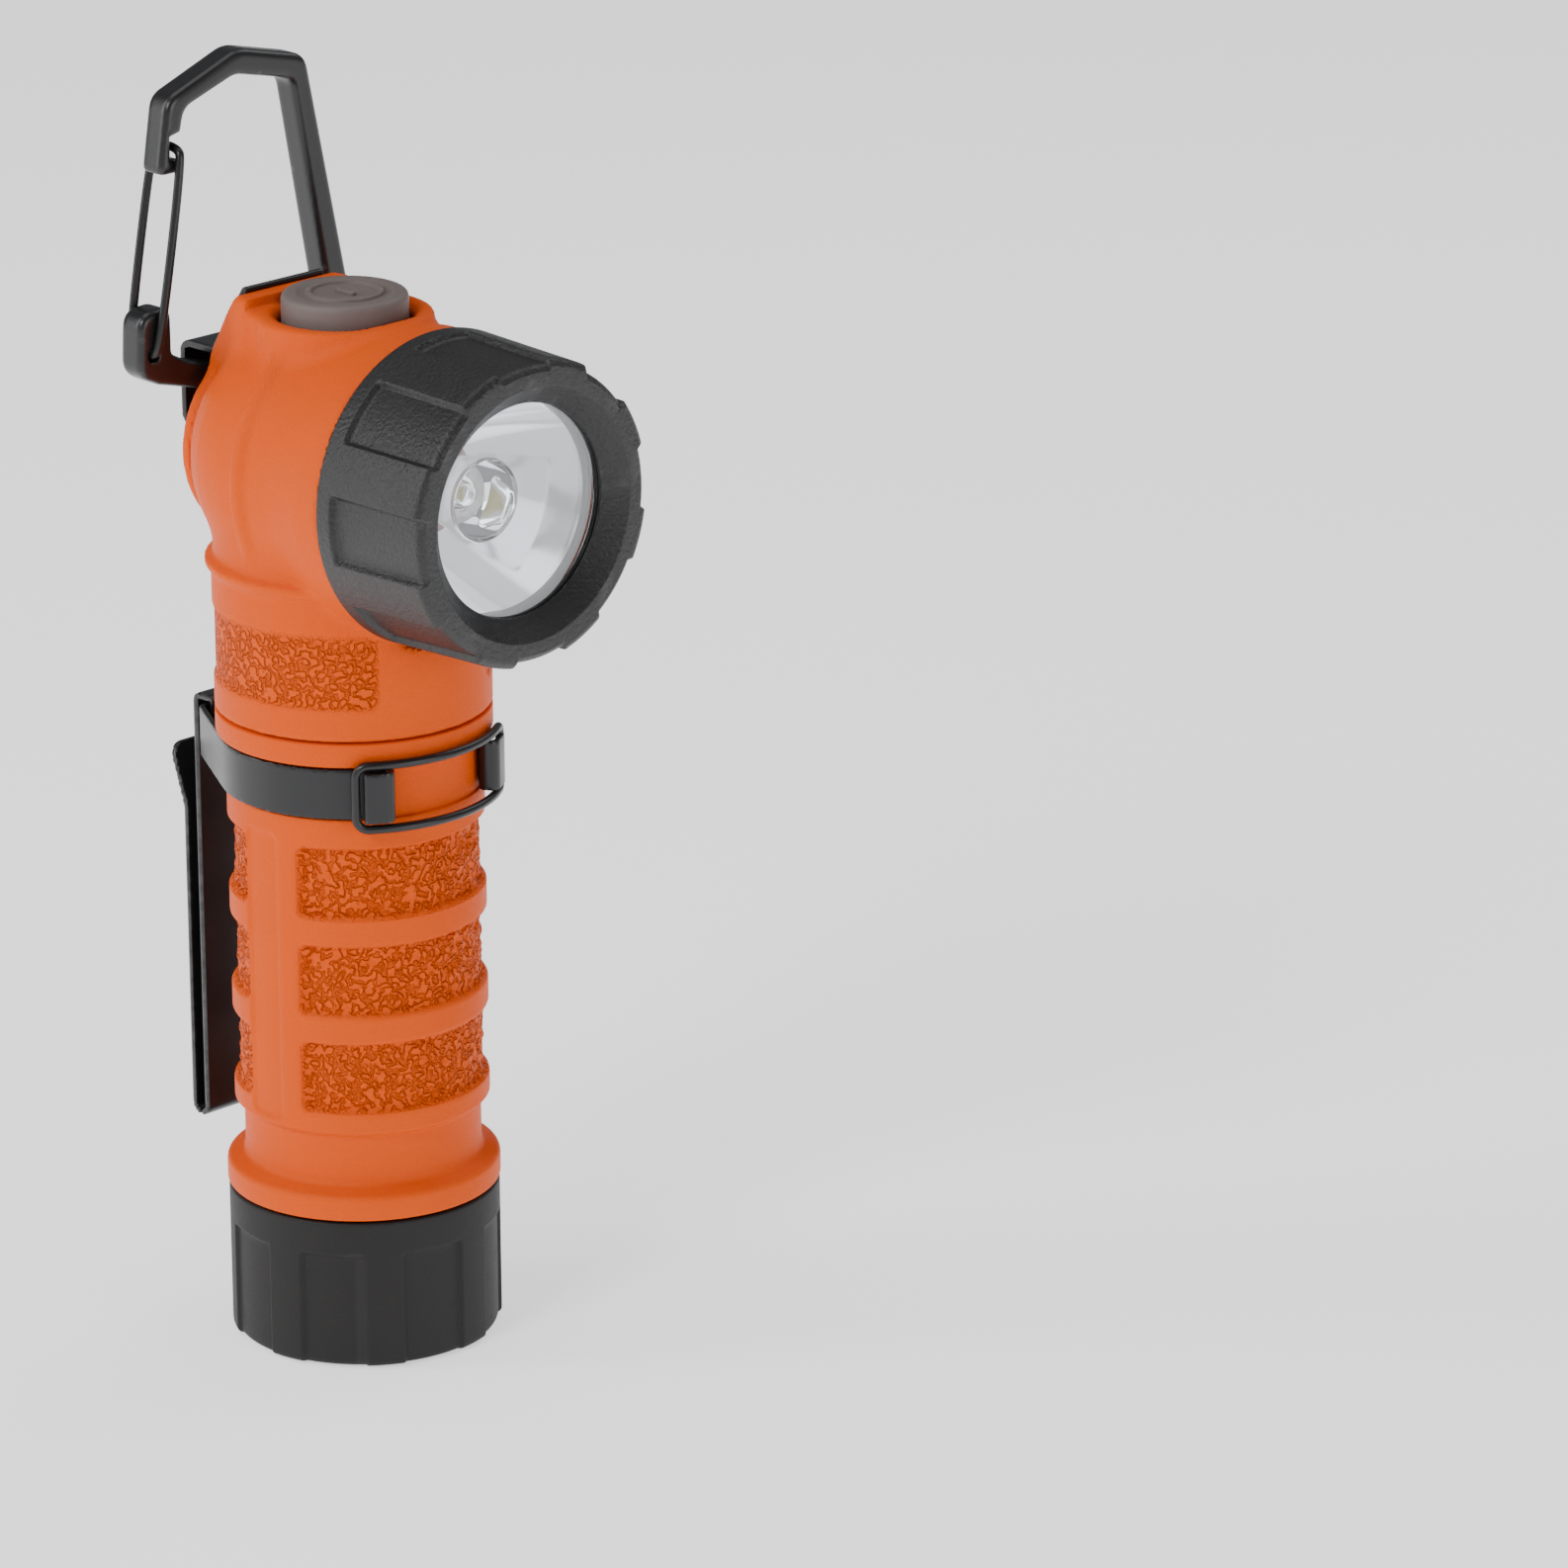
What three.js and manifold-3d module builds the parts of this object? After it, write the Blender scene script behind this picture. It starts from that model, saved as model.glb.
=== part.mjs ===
// Right-angle hand light for fire crews: a vertical battery barrel with a screw-on tail cap, a head
// that throws its beam sideways, a top push button, a spring pocket clip and a tether carabiner.
// Units are millimetres. +Z runs up the barrel from the tail face, the beam leaves along -Y and the
// clip and the carabiner are on the +Y side. Angles round the barrel count from the beam side, -Y,
// and grow towards +X.

import * as THREE from "three";
import { mergeVertices } from "three/addons/utils/BufferGeometryUtils.js";
import Module from "manifold-3d";

const wasm = await Module();
wasm.setup();

// ---------------------------------------------------------------------------------------------
// Driving dimensions
// ---------------------------------------------------------------------------------------------

const gap = 0.3; // free space between pieces that touch
const slipGap = 0.4; // free space round pieces that slide or turn
const roundSegments = 36;

// Battery cell
const cellRadius = 9.3;
const cellLength = 67;
const cellButtonRadius = 3.6;
const cellButtonHeight = 1.4;

// Tail cap
const capInset = 0.15; // cap side inside the barrel's flange
const capHeight = 19.8;
const capFloor = 4;
const capWall = 1.95;
const capEdge = 0.7; // rounding of the lower edge
const capLandCount = 8;
const capLandPhase = -33.5; // azimuth of one land's middle, degrees
const capRecessWidth = 28; // degrees
const capRecessDepth = 0.45;
const capRecessTop = 15.2;
const threadPitch = 2;
const threadTurns = 4;
const threadWire = 0.55;

// Barrel
const tubeRadius = 17.6;
const flangeHeight = 3.2;
const waistInset = 2.4; // waist inside the flange
const waistHeight = 8.1;
const gripInset = 1.2; // grip surface inside the flange
const panelDepth = 0.95;
const panelRib = 3.55; // plain ring between two rows of panels
const panelRows = 3;
const gripSmoothBelow = 2.8; // smooth ring below the lowest panel
const gripSmoothAbove = 3.9; // smooth ring between the highest panel and the band
const columnInner = 70; // azimuths of the plain column between the panel sets, degrees
const columnRecessInner = 80;
const columnOuter = 100;
const columnRecessDepth = 0.35;
const lipHeight = 3.1; // shoulder above the clamp band
const spigotWall = 2.1;
const spigotLength = 11.2;
const carrierStep = 6.3; // from the parting line up to the contact carrier's seat
const contactSpace = 9.1; // from the cell's shoulder to the carrier's seat
const linerWall = 0.6;
const barrelBoreWall = 0.3 + linerWall + 0.4; // liner, its free space and the cell's

// Clamp band and its wire latch
const bandHeight = 6.6;
const bandThickness = 0.8;
const bandEarAzimuth = 30; // where each end folds outwards, degrees
const bandEarTip = 37; // where the folded leaf ends, degrees
const bandEarRise = 2.9; // from the band's inner face to the leaf's outer face
const bandEarBulge = 3.4; // how far the fold runs past the ear's azimuth, degrees
const bandRearMargin = 0.7; // how far the square rear of the band reaches beyond the clip's sides
const bandRearSpace = 4.8; // from the band's inner radius to the outer face of its rear wall
const wireRadius = 0.575;
const latchCorner = 1.6;

// Pocket clip
const clipHalfWidth = 7;
const clipThickness = 0.8;
const clipStandoff = 1.3; // between the band's rear wall and the plate
const clipGap = 1.7; // between the plate and the arm
const clipLength = 50.8; // from the bottom fold to the band
const clipArmDrop = 0.8; // top of the arm below the band
const clipLipLength = 7.5;
const clipLipReach = 2.9;
const clipHookDrop = 2.6; // how far the hook reaches down inside the band
const clipFoldOpening = 18; // degrees of the bottom fold left open on each side of its middle

// Head
const beamRise = 31.6; // beam axis above the foot of the neck
const headCavityRadius = 14.9;
const headCavityRear = 11.6;
const headRearInset = 7; // rear face's radius inside the head's
const headRimProud = 0.6;
const pocketFront = -0.7; // front edge of the side pockets
const pocketDepth = 1;
const neckRingHeight = 1.6;
const neckRingProud = 0.4;
const neckHeight = 18.6; // from the parting line to the ring under the side pockets
const neckBandBottom = 4.3; // textured band of the neck, from the parting line
const neckBandHeight = 9.1;
const neckBandDepth = 0.3;
const neckBandAzimuth = 31.5;
const deckDrop = 0.3; // flat round the button below the top of the head
const crestRise = 1.4; // rise behind the button
const bossMargin = 3.2; // boss round the button
const deckTaper = 20; // degrees round the boss that the tapering sides cut off
const crestReach = 12.3; // rear end of the crest
const slopeFootRise = 11.85; // where the rear slope meets the rear face, above the beam axis

// Bezel and optics
const bezelRear = 16.5; // distances along -Y from the barrel axis
const bezelFront = 34.3;
const bezelWall = 2.4;
const bezelTaper = 0.6; // front radius inside the rear radius
const bezelMouthMargin = 1.3; // mouth beyond the head's cavity
const bezelStep = 0.5; // rear radius beyond the head's
const lensLedge = 1.4; // ledge that covers the lens edge
const lensThickness = 2;
const bezelLipThickness = 2.9; // from the lens seat to the front face
const gasketThickness = 0.7;
const bezelLandCount = 8;
const bezelLandPhase = 19.5; // degrees from straight up, towards +X
const bezelRecessWidth = 25; // degrees
const bezelRecessDepth = 0.5;
const bezelCollar = 2.6; // plain ring behind the recesses
const bezelThreadStart = 20.4;
const bezelThreadTurns = 3;
const bezelThreadPitch = 1.8;
const reflectorThroat = 5.9;
const reflectorWall = 0.8;
const reflectorRear = 17;
const collimatorRadius = 5.2;
const collimatorFront = 24.9;
const ledBoardFront = 15.8;
const ledBoardRadius = 10;
const boardThickness = 1.2;
const ledSize = 3.5;
const heatSinkThickness = 4.4;

// Push button
const buttonRadius = 8;
const buttonProud = 2.8;
const buttonFlange = 1.2; // how far the flange reaches beyond the button
const buttonTravel = 1.2;
const wellGap = 0.5;
const wellChamfer = 0.8;

// Tether bracket and carabiner
const bracketHalfWidth = 6.5;
const bracketThickness = 0.9;
const bracketLoopHalf = 4.8; // half of the loop's inner height
const bracketFootLength = 8.4;
const screwRadius = 1.1;
const screwHeadRadius = 2.2;
const screwHeadHeight = 1.3;
const screwLength = 4.4;
const carabinerDepth = 4.2;
const carabinerBar = 3.4; // in-plane width of the bar inside the bracket
const carabinerTilt = 15; // degrees, bar against the beam side's level

// ---------------------------------------------------------------------------------------------
// Derived positions
// ---------------------------------------------------------------------------------------------

const barrelBore = cellRadius + barrelBoreWall;
const capRadius = tubeRadius - capInset;
const waistRadius = tubeRadius - waistInset;
const gripRadius = tubeRadius - gripInset;
const capBore = capRadius - capWall;
const threadCrest = capBore - 0.5;
const spigotRadius = threadCrest - 0.6;
const contactDiscBottom = capFloor + gap;
const spigotBottom = capFloor + 2.5;
const cellBottom = contactDiscBottom + 9.9;
const cellTop = cellBottom + cellLength;
const barrelShoulder = capHeight + gap;
const waistBottom = barrelShoulder + flangeHeight;
const gripBottom = waistBottom + waistHeight;
const carrierSeat = cellTop + contactSpace;
const partingLine = carrierSeat - carrierStep;
const lipBottom = partingLine - lipHeight;
const bandTop = lipBottom - gap;
const bandBottom = bandTop - bandHeight;
const bandSeatBottom = bandBottom - gap;
const firstPanel = gripBottom + gripSmoothBelow;
const lastPanelTop = bandSeatBottom - gripSmoothAbove;
const panelPitch = (lastPanelTop - firstPanel + panelRib) / panelRows;
const panelHeight = panelPitch - panelRib;
const bandInner = gripRadius;
const bandSeatRadius = gripRadius - gap;
const bandRearHalf = clipHalfWidth + bandRearMargin;
const bandRearReach = bandInner + bandRearSpace;
const clipBottom = bandBottom - clipLength;
const clipArmTop = bandBottom - clipArmDrop;
const neckBottom = partingLine + gap;
const headSpigotRadius = tubeRadius - 2.3;
const spigotTop = partingLine + spigotLength;
const carrierRadius = headSpigotRadius - spigotWall;
const neckBore = carrierRadius - 0.2;
const ringBottom = neckBottom + neckHeight;
const ringTop = ringBottom + neckRingHeight;
const beamHeight = neckBottom + beamRise;
const latchAzimuth = bandEarTip + 4.4;
const latchRadius = tubeRadius + gap + wireRadius;
const lensRadius = headCavityRadius - gap;
const lensClearRadius = headCavityRadius - lensLedge;
const lensSeat = bezelFront - bezelLipThickness;
const lensFront = lensSeat - gap - gasketThickness - gap;
const lensBack = lensFront - lensThickness;
const bezelBore = headCavityRadius + 2.8;
const bezelRearRadius = bezelBore + bezelWall;
const bezelFrontRadius = bezelRearRadius - bezelTaper;
const bezelMouthRadius = headCavityRadius + bezelMouthMargin;
const headRadius = bezelRearRadius - bezelStep;
const headRearFace = tubeRadius;
const headRearRadius = headRadius - headRearInset;
const deckHeight = beamHeight + headRadius - deckDrop;
const crestHeight = deckHeight + crestRise;
const slopeFoot = beamHeight + slopeFootRise;
const bossRadius = buttonRadius + bossMargin;
const bezelThreadCrest = bezelBore - slipGap;
const headSpigotFront = 26.8;
const buttonTop = deckHeight + buttonProud;
const flangeRadius = buttonRadius + buttonFlange;
const flangeTop = beamHeight + Math.sqrt(headCavityRadius ** 2 - flangeRadius ** 2) - gap - 0.2;
const flangeBottom = flangeTop - 1.5;
const plungerBottom = flangeBottom - gap - 2.2;
const switchTop = plungerBottom + 0.6;
const swingHeight = (slopeFoot + gap + beamHeight + 1.2) / 2; // the carabiner bar's axis
const carabinerSweep = Math.hypot(carabinerDepth / 2, carabinerBar / 2);
const carabinerCentre = headRearFace + gap + carabinerSweep;
const bracketLoopReach = 2 * (gap + carabinerSweep); // inside of the loop, from the head's rear face
const latchBarHeights = [bandBottom - gap - wireRadius, bandTop + gap + wireRadius];

const degrees = Math.PI / 180;

// ---------------------------------------------------------------------------------------------
// Materials
// ---------------------------------------------------------------------------------------------

function material(color, roughness, metalness = 0, opacity = 1) {
  return new THREE.MeshStandardMaterial({
    color, roughness, metalness, opacity, transparent: opacity < 1,
  });
}

const orangePolymer = material(0xe2661f, 0.5);
const blackRubber = material(0x232224, 0.85);
const blackPolymer = material(0x2b2a2c, 0.7);
const greyRubber = material(0x5d5553, 0.7);
const blackSteel = material(0x1b1b1d, 0.35, 0.8);
const springSteel = material(0xb8bbc0, 0.3, 1);
const brass = material(0xc79a45, 0.35, 1);
const aluminium = material(0xb9bcc2, 0.4, 1);
const mirrorFinish = material(0xe8e9ec, 0.08, 1);
const clearPlastic = material(0xdfe7ee, 0.05, 0, 0.35);
const boardGreen = material(0x1d5a37, 0.5);
const boardWhite = material(0xf0efe9, 0.5);
const chipBlack = material(0x18181a, 0.5);
const cellWrap = material(0x3b6aa8, 0.45);
const ledYellow = material(0xf2d648, 0.4);
const leadRed = material(0xb52420, 0.5);
const leadBlack = material(0x1c1c1e, 0.5);

// ---------------------------------------------------------------------------------------------
// Solid helpers
// ---------------------------------------------------------------------------------------------

// A closed three.js geometry as a manifold solid, with its faces turned outwards.
function toSolid(geometry) {
  const bare = geometry.clone();
  bare.deleteAttribute("normal");
  bare.deleteAttribute("uv");
  const merged = mergeVertices(bare, 1e-4);
  const position = merged.attributes.position.array;
  const triangles = [];
  const index = merged.index.array;
  let volume = 0;
  const corner = [new THREE.Vector3(), new THREE.Vector3(), new THREE.Vector3()];
  for (let i = 0; i < index.length; i += 3) {
    const [a, b, c] = [index[i], index[i + 1], index[i + 2]];
    if (a === b || b === c || c === a) continue;
    triangles.push([a, b, c]);
    [a, b, c].forEach((v, k) => corner[k].fromArray(position, v * 3));
    volume += corner[0].dot(corner[1].clone().cross(corner[2]));
  }
  const ordered = volume < 0 ? triangles.map(([a, b, c]) => [a, c, b]) : triangles;
  const mesh = new wasm.Mesh({
    numProp: 3,
    vertProperties: new Float32Array(position),
    triVerts: new Uint32Array(ordered.flat()),
  });
  mesh.merge();
  return new wasm.Manifold(mesh);
}

function toGeometry(solid) {
  const { vertProperties, triVerts } = solid.getMesh();
  const geometry = new THREE.BufferGeometry();
  geometry.setAttribute("position", new THREE.BufferAttribute(new Float32Array(vertProperties), 3));
  geometry.setIndex(new THREE.BufferAttribute(new Uint32Array(triVerts), 1));
  geometry.computeVertexNormals();
  return geometry;
}

const sum = (...solids) => solids.reduce((total, next) => total.add(next));

// Revolves [radius, height] points about Z.
function turned(profile, segments = roundSegments) {
  const points = profile.map(([r, z]) => new THREE.Vector2(r, z));
  return toSolid(new THREE.LatheGeometry(points, segments).rotateX(Math.PI / 2));
}

// Revolves [radius, distance along -Y] points about the beam axis.
function turnedAlongBeam(profile, segments = roundSegments) {
  const points = profile.map(([r, y]) => new THREE.Vector2(r, -y));
  const geometry = new THREE.LatheGeometry(points, segments);
  return toSolid(geometry.translate(0, 0, beamHeight));
}

function rod(radius, bottom, top, segments = 24) {
  return turned([[0, bottom], [radius, bottom], [radius, top], [0, top]], segments);
}

function rodAlongBeam(radius, from, to, segments = 24) {
  return turnedAlongBeam([[0, from], [radius, from], [radius, to], [0, to]], segments);
}

function ring(inner, outer, bottom, top, segments = roundSegments) {
  const profile = [[inner, bottom], [outer, bottom], [outer, top], [inner, top], [inner, bottom]];
  return turned(profile, segments);
}

function box(size, centre) {
  return toSolid(new THREE.BoxGeometry(...size).translate(...centre));
}

// Rounds the corners of an outline of [x, y, radius] points with arcs of the given steps.
function rounded(corners, closed = true, steps = 4) {
  const outline = [];
  corners.forEach(([x, y, radius = 0], i) => {
    const here = new THREE.Vector2(x, y);
    const isEnd = !closed && (i === 0 || i === corners.length - 1);
    if (!radius || isEnd) {
      outline.push(here);
      return;
    }
    const before = new THREE.Vector2(...corners.at(i - 1).slice(0, 2)).sub(here);
    const after = new THREE.Vector2(...corners[(i + 1) % corners.length].slice(0, 2)).sub(here);
    const half = Math.acos(before.clone().normalize().dot(after.clone().normalize())) / 2;
    const cut = radius / Math.tan(half);
    const bisector = before.clone().normalize().add(after.clone().normalize()).normalize();
    const centre = here.clone().addScaledVector(bisector, radius / Math.sin(half));
    const start = here.clone().addScaledVector(before.normalize(), cut).sub(centre);
    const end = here.clone().addScaledVector(after.normalize(), cut).sub(centre);
    const turn = Math.atan2(start.cross(end), start.dot(end));
    for (let step = 0; step <= steps; step += 1) {
      outline.push(start.clone().rotateAround(new THREE.Vector2(), turn * step / steps).add(centre));
    }
  });
  return outline;
}

// The outline of a strip of constant thickness on both sides of an open path.
function stripOutline(path, thickness) {
  const left = [];
  const right = [];
  path.forEach((point, i) => {
    const before = path[Math.max(i - 1, 0)];
    const after = path[Math.min(i + 1, path.length - 1)];
    const enter = point.clone().sub(i === 0 ? point.clone().multiplyScalar(2).sub(after) : before);
    const leave = after.clone().sub(i === path.length - 1 ? before.clone() : point);
    const along = enter.normalize().add(leave.normalize()).normalize();
    const reach = thickness / 2 / Math.max(enter.dot(along), 0.5);
    const normal = new THREE.Vector2(-along.y, along.x);
    left.push(point.clone().addScaledVector(normal, reach));
    right.unshift(point.clone().addScaledVector(normal, -reach));
  });
  return [...left, ...right];
}

// Extrudes an [x, y] outline up Z between two heights.
function raised(outline, bottom, top) {
  const options = { depth: top - bottom, bevelEnabled: false };
  return toSolid(new THREE.ExtrudeGeometry(new THREE.Shape(outline), options).translate(0, 0, bottom));
}

// Extrudes a [y, z] outline along X, centred on the barrel's mid plane.
function across(outline, halfWidth) {
  const options = { depth: halfWidth * 2, bevelEnabled: false };
  const geometry = new THREE.ExtrudeGeometry(new THREE.Shape(outline), options);
  geometry.translate(0, 0, -halfWidth);
  const [x, y, z] = [new THREE.Vector3(1, 0, 0), new THREE.Vector3(0, 1, 0), new THREE.Vector3(0, 0, 1)];
  return toSolid(geometry.applyMatrix4(new THREE.Matrix4().makeBasis(y, z, x)));
}

// Extrudes an [x, z] outline along +Y from a starting distance.
function deep(outline, front, depth) {
  const options = { depth, bevelEnabled: false };
  const geometry = new THREE.ExtrudeGeometry(new THREE.Shape(outline), options);
  geometry.rotateX(Math.PI / 2);
  return toSolid(geometry.translate(0, front + depth, 0));
}

// A point on the barrel at an azimuth counted from -Y towards +X.
function onBarrel(radius, azimuth) {
  return [radius * Math.sin(azimuth * degrees), -radius * Math.cos(azimuth * degrees)];
}

function arcPoints(radius, from, to, steps) {
  return Array.from({ length: steps + 1 }, (_, i) => {
    return new THREE.Vector2(...onBarrel(radius, from + (to - from) * i / steps));
  });
}

// A block between two radii and two azimuths of the barrel. Its facets line up with the barrel's.
function barrelSector(inner, outer, from, to, bottom, top) {
  const facet = 360 / roundSegments;
  const azimuths = [from];
  for (let k = Math.floor(from / facet) + 1; k * facet < to - 0.01; k += 1) azimuths.push(k * facet);
  azimuths.push(to);
  const arc = (radius) => azimuths.map((azimuth) => new THREE.Vector2(...onBarrel(radius, azimuth)));
  return raised([...arc(outer), ...arc(inner).reverse()], bottom, top);
}

// A helix about Z, from a radius and height to another.
class Helix extends THREE.Curve {
  constructor(startRadius, endRadius, bottom, top, turns) {
    super();
    Object.assign(this, { startRadius, endRadius, bottom, top, turns });
  }

  getPoint(t) {
    const radius = this.startRadius + (this.endRadius - this.startRadius) * t;
    const angle = t * this.turns * 2 * Math.PI;
    const height = this.bottom + (this.top - this.bottom) * t;
    return new THREE.Vector3(radius * Math.cos(angle), radius * Math.sin(angle), height);
  }
}

// A round wire swept along an open curve.
function swept(curve, radius, steps, sides = 8) {
  const section = new THREE.Shape(Array.from({ length: sides }, (_, i) => {
    const angle = i / sides * 2 * Math.PI;
    return new THREE.Vector2(radius * Math.cos(angle), radius * Math.sin(angle));
  }));
  return toSolid(new THREE.ExtrudeGeometry(section, { steps, extrudePath: curve }));
}

// A smooth curve through hand-set corners, each corner held tight by points beside it.
function bentCurve(corners, bend, closed = false) {
  const points = [];
  corners.forEach((corner, i) => {
    const here = new THREE.Vector3(...corner);
    const ends = !closed && (i === 0 || i === corners.length - 1);
    if (ends) {
      points.push(here);
      return;
    }
    const before = new THREE.Vector3(...corners.at(i - 1)).sub(here).normalize();
    const after = new THREE.Vector3(...corners[(i + 1) % corners.length]).sub(here).normalize();
    const middle = here.clone().addScaledVector(before.clone().add(after), bend * 0.29);
    points.push(here.clone().addScaledVector(before, bend), middle);
    points.push(here.clone().addScaledVector(after, bend));
  });
  return new THREE.CatmullRomCurve3(points, closed, "centripetal");
}

function oRing(radius, section, height) {
  return toSolid(new THREE.TorusGeometry(radius, section, 5, 24).translate(0, 0, height));
}

const root = new THREE.Group();

function addPart(name, solid, surface, parent = root) {
  const mesh = new THREE.Mesh(toGeometry(solid), surface);
  mesh.name = name;
  parent.add(mesh);
}

// ---------------------------------------------------------------------------------------------
// Tail cap, contacts and battery
// ---------------------------------------------------------------------------------------------

function tailCap() {
  const outer = turned([
    [0, 0], [capRadius - capEdge, 0], [capRadius - 0.2, capEdge * 0.4], [capRadius, capEdge],
    [capRadius, capHeight], [0, capHeight],
  ]);
  const bore = turned([
    [0, capFloor], [capBore, capFloor], [capBore, capHeight + 1], [0, capHeight + 1],
  ]);
  const step = 360 / capLandCount;
  const recesses = Array.from({ length: capLandCount }, (_, i) => {
    const middle = capLandPhase + (i + 0.5) * step;
    const [from, to] = [middle - capRecessWidth / 2, middle + capRecessWidth / 2];
    const floor = capRadius - capRecessDepth;
    return barrelSector(floor, capRadius + 1, from, to, -1, capRecessTop);
  });
  return outer.subtract(bore).subtract(sum(...recesses));
}

function tailContactDisc() {
  const outer = barrelBore - gap;
  const inner = outer - linerWall;
  const rimTop = spigotBottom - gap;
  return turned([
    [0, contactDiscBottom], [outer, contactDiscBottom], [outer, rimTop], [inner, rimTop],
    [inner, contactDiscBottom + 0.6], [0, contactDiscBottom + 0.6],
  ]);
}

function tailSpring() {
  const wire = 0.45;
  const bottom = contactDiscBottom + 0.6 + gap + wire;
  const top = cellBottom - gap - wire;
  return swept(new Helix(7, 3, bottom, top, 4), wire, 44, 4);
}

function batteryCell() {
  return turned([
    [0, cellBottom], [cellRadius - 0.5, cellBottom], [cellRadius, cellBottom + 0.5],
    [cellRadius, cellTop - 0.8], [cellRadius - 0.8, cellTop], [0, cellTop],
  ], 36);
}

function batteryPositiveCap() {
  return rod(cellButtonRadius, cellTop + gap, cellTop + gap + cellButtonHeight);
}

addPart("tail_cap", tailCap(), blackRubber);
addPart("tail_cap_oring", oRing(capBore - gap - 0.7, 0.7, capHeight - 2.2), blackRubber);
addPart("tail_contact_disc", tailContactDisc(), brass);
addPart("tail_spring", tailSpring(), springSteel);
addPart("battery_cell", batteryCell(), cellWrap);
addPart("battery_positive_cap", batteryPositiveCap(), springSteel);

// ---------------------------------------------------------------------------------------------
// Barrel
// ---------------------------------------------------------------------------------------------

function barrel() {
  const capRingMiddle = capHeight - 2.2;
  const headRingMiddle = partingLine + 2.9;
  const body = turned([
    [barrelBore, spigotBottom], [spigotRadius - 0.6, spigotBottom],
    [spigotRadius, spigotBottom + 0.6], [spigotRadius, capRingMiddle - 1],
    [capBore - 1.9, capRingMiddle - 1], [capBore - 1.9, capRingMiddle + 1],
    [spigotRadius, capRingMiddle + 1], [spigotRadius, barrelShoulder],
    [tubeRadius - 0.3, barrelShoulder], [tubeRadius, barrelShoulder + 0.3],
    [tubeRadius, waistBottom - 0.8], [tubeRadius - 0.8, waistBottom],
    [waistRadius, waistBottom + 0.8], [waistRadius, gripBottom - 1], [gripRadius, gripBottom + 0.2],
    [gripRadius, bandSeatBottom], [bandSeatRadius, bandSeatBottom], [bandSeatRadius, lipBottom],
    [tubeRadius - 0.4, lipBottom], [tubeRadius, lipBottom + 0.4], [tubeRadius, partingLine],
    [headSpigotRadius, partingLine], [headSpigotRadius, headRingMiddle - 1],
    [headSpigotRadius - 1.6, headRingMiddle - 1], [headSpigotRadius - 1.6, headRingMiddle + 1],
    [headSpigotRadius, headRingMiddle + 1], [headSpigotRadius, spigotTop], [carrierRadius, spigotTop],
    [carrierRadius, carrierSeat], [barrelBore, carrierSeat], [barrelBore, spigotBottom],
  ]);
  const threadBottom = spigotBottom + 1.2;
  const threadCentre = threadCrest - threadWire;
  const threadTop = threadBottom + threadPitch * threadTurns;
  const helix = new Helix(threadCentre, threadCentre, threadBottom, threadTop, threadTurns);
  const thread = swept(helix, threadWire, threadTurns * 12, 4);
  const floor = gripRadius - panelDepth;
  const panels = Array.from({ length: panelRows }, (_, row) => {
    const bottom = firstPanel + row * panelPitch;
    const top = bottom + panelHeight;
    const front = barrelSector(floor, tubeRadius, -columnInner, columnInner, bottom, top);
    const rear = barrelSector(floor, tubeRadius, columnOuter, 360 - columnOuter, bottom, top);
    return front.add(rear);
  });
  const columns = [-columnOuter + 1, columnRecessInner].map((from) => {
    const to = from + columnOuter - 1 - columnRecessInner;
    const recessFloor = gripRadius - columnRecessDepth;
    return barrelSector(recessFloor, tubeRadius, from, to, gripBottom + 1, lastPanelTop + 1);
  });
  return body.add(thread).subtract(sum(...panels, ...columns));
}

function barrelLiner() {
  const outer = barrelBore - gap;
  return ring(outer - linerWall, outer, spigotBottom + 0.5, carrierSeat - gap, 36);
}

addPart("barrel", barrel(), orangePolymer);
addPart("barrel_liner", barrelLiner(), aluminium);
addPart("housing_oring", oRing(headSpigotRadius - 0.6, 0.6, partingLine + 2.9), blackRubber);

// ---------------------------------------------------------------------------------------------
// Head housing
// ---------------------------------------------------------------------------------------------

// Footprint of the deck that carries the button: a round boss whose sides taper to the rear face.
function deckFootprint(reach) {
  const side = bracketHalfWidth + 0.6;
  const leave = 90 + Math.acos(side / bossRadius) / degrees - deckTaper;
  const front = arcPoints(bossRadius, -leave, leave, 18);
  return [...front, new THREE.Vector2(side, reach), new THREE.Vector2(-side, reach)];
}

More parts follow.
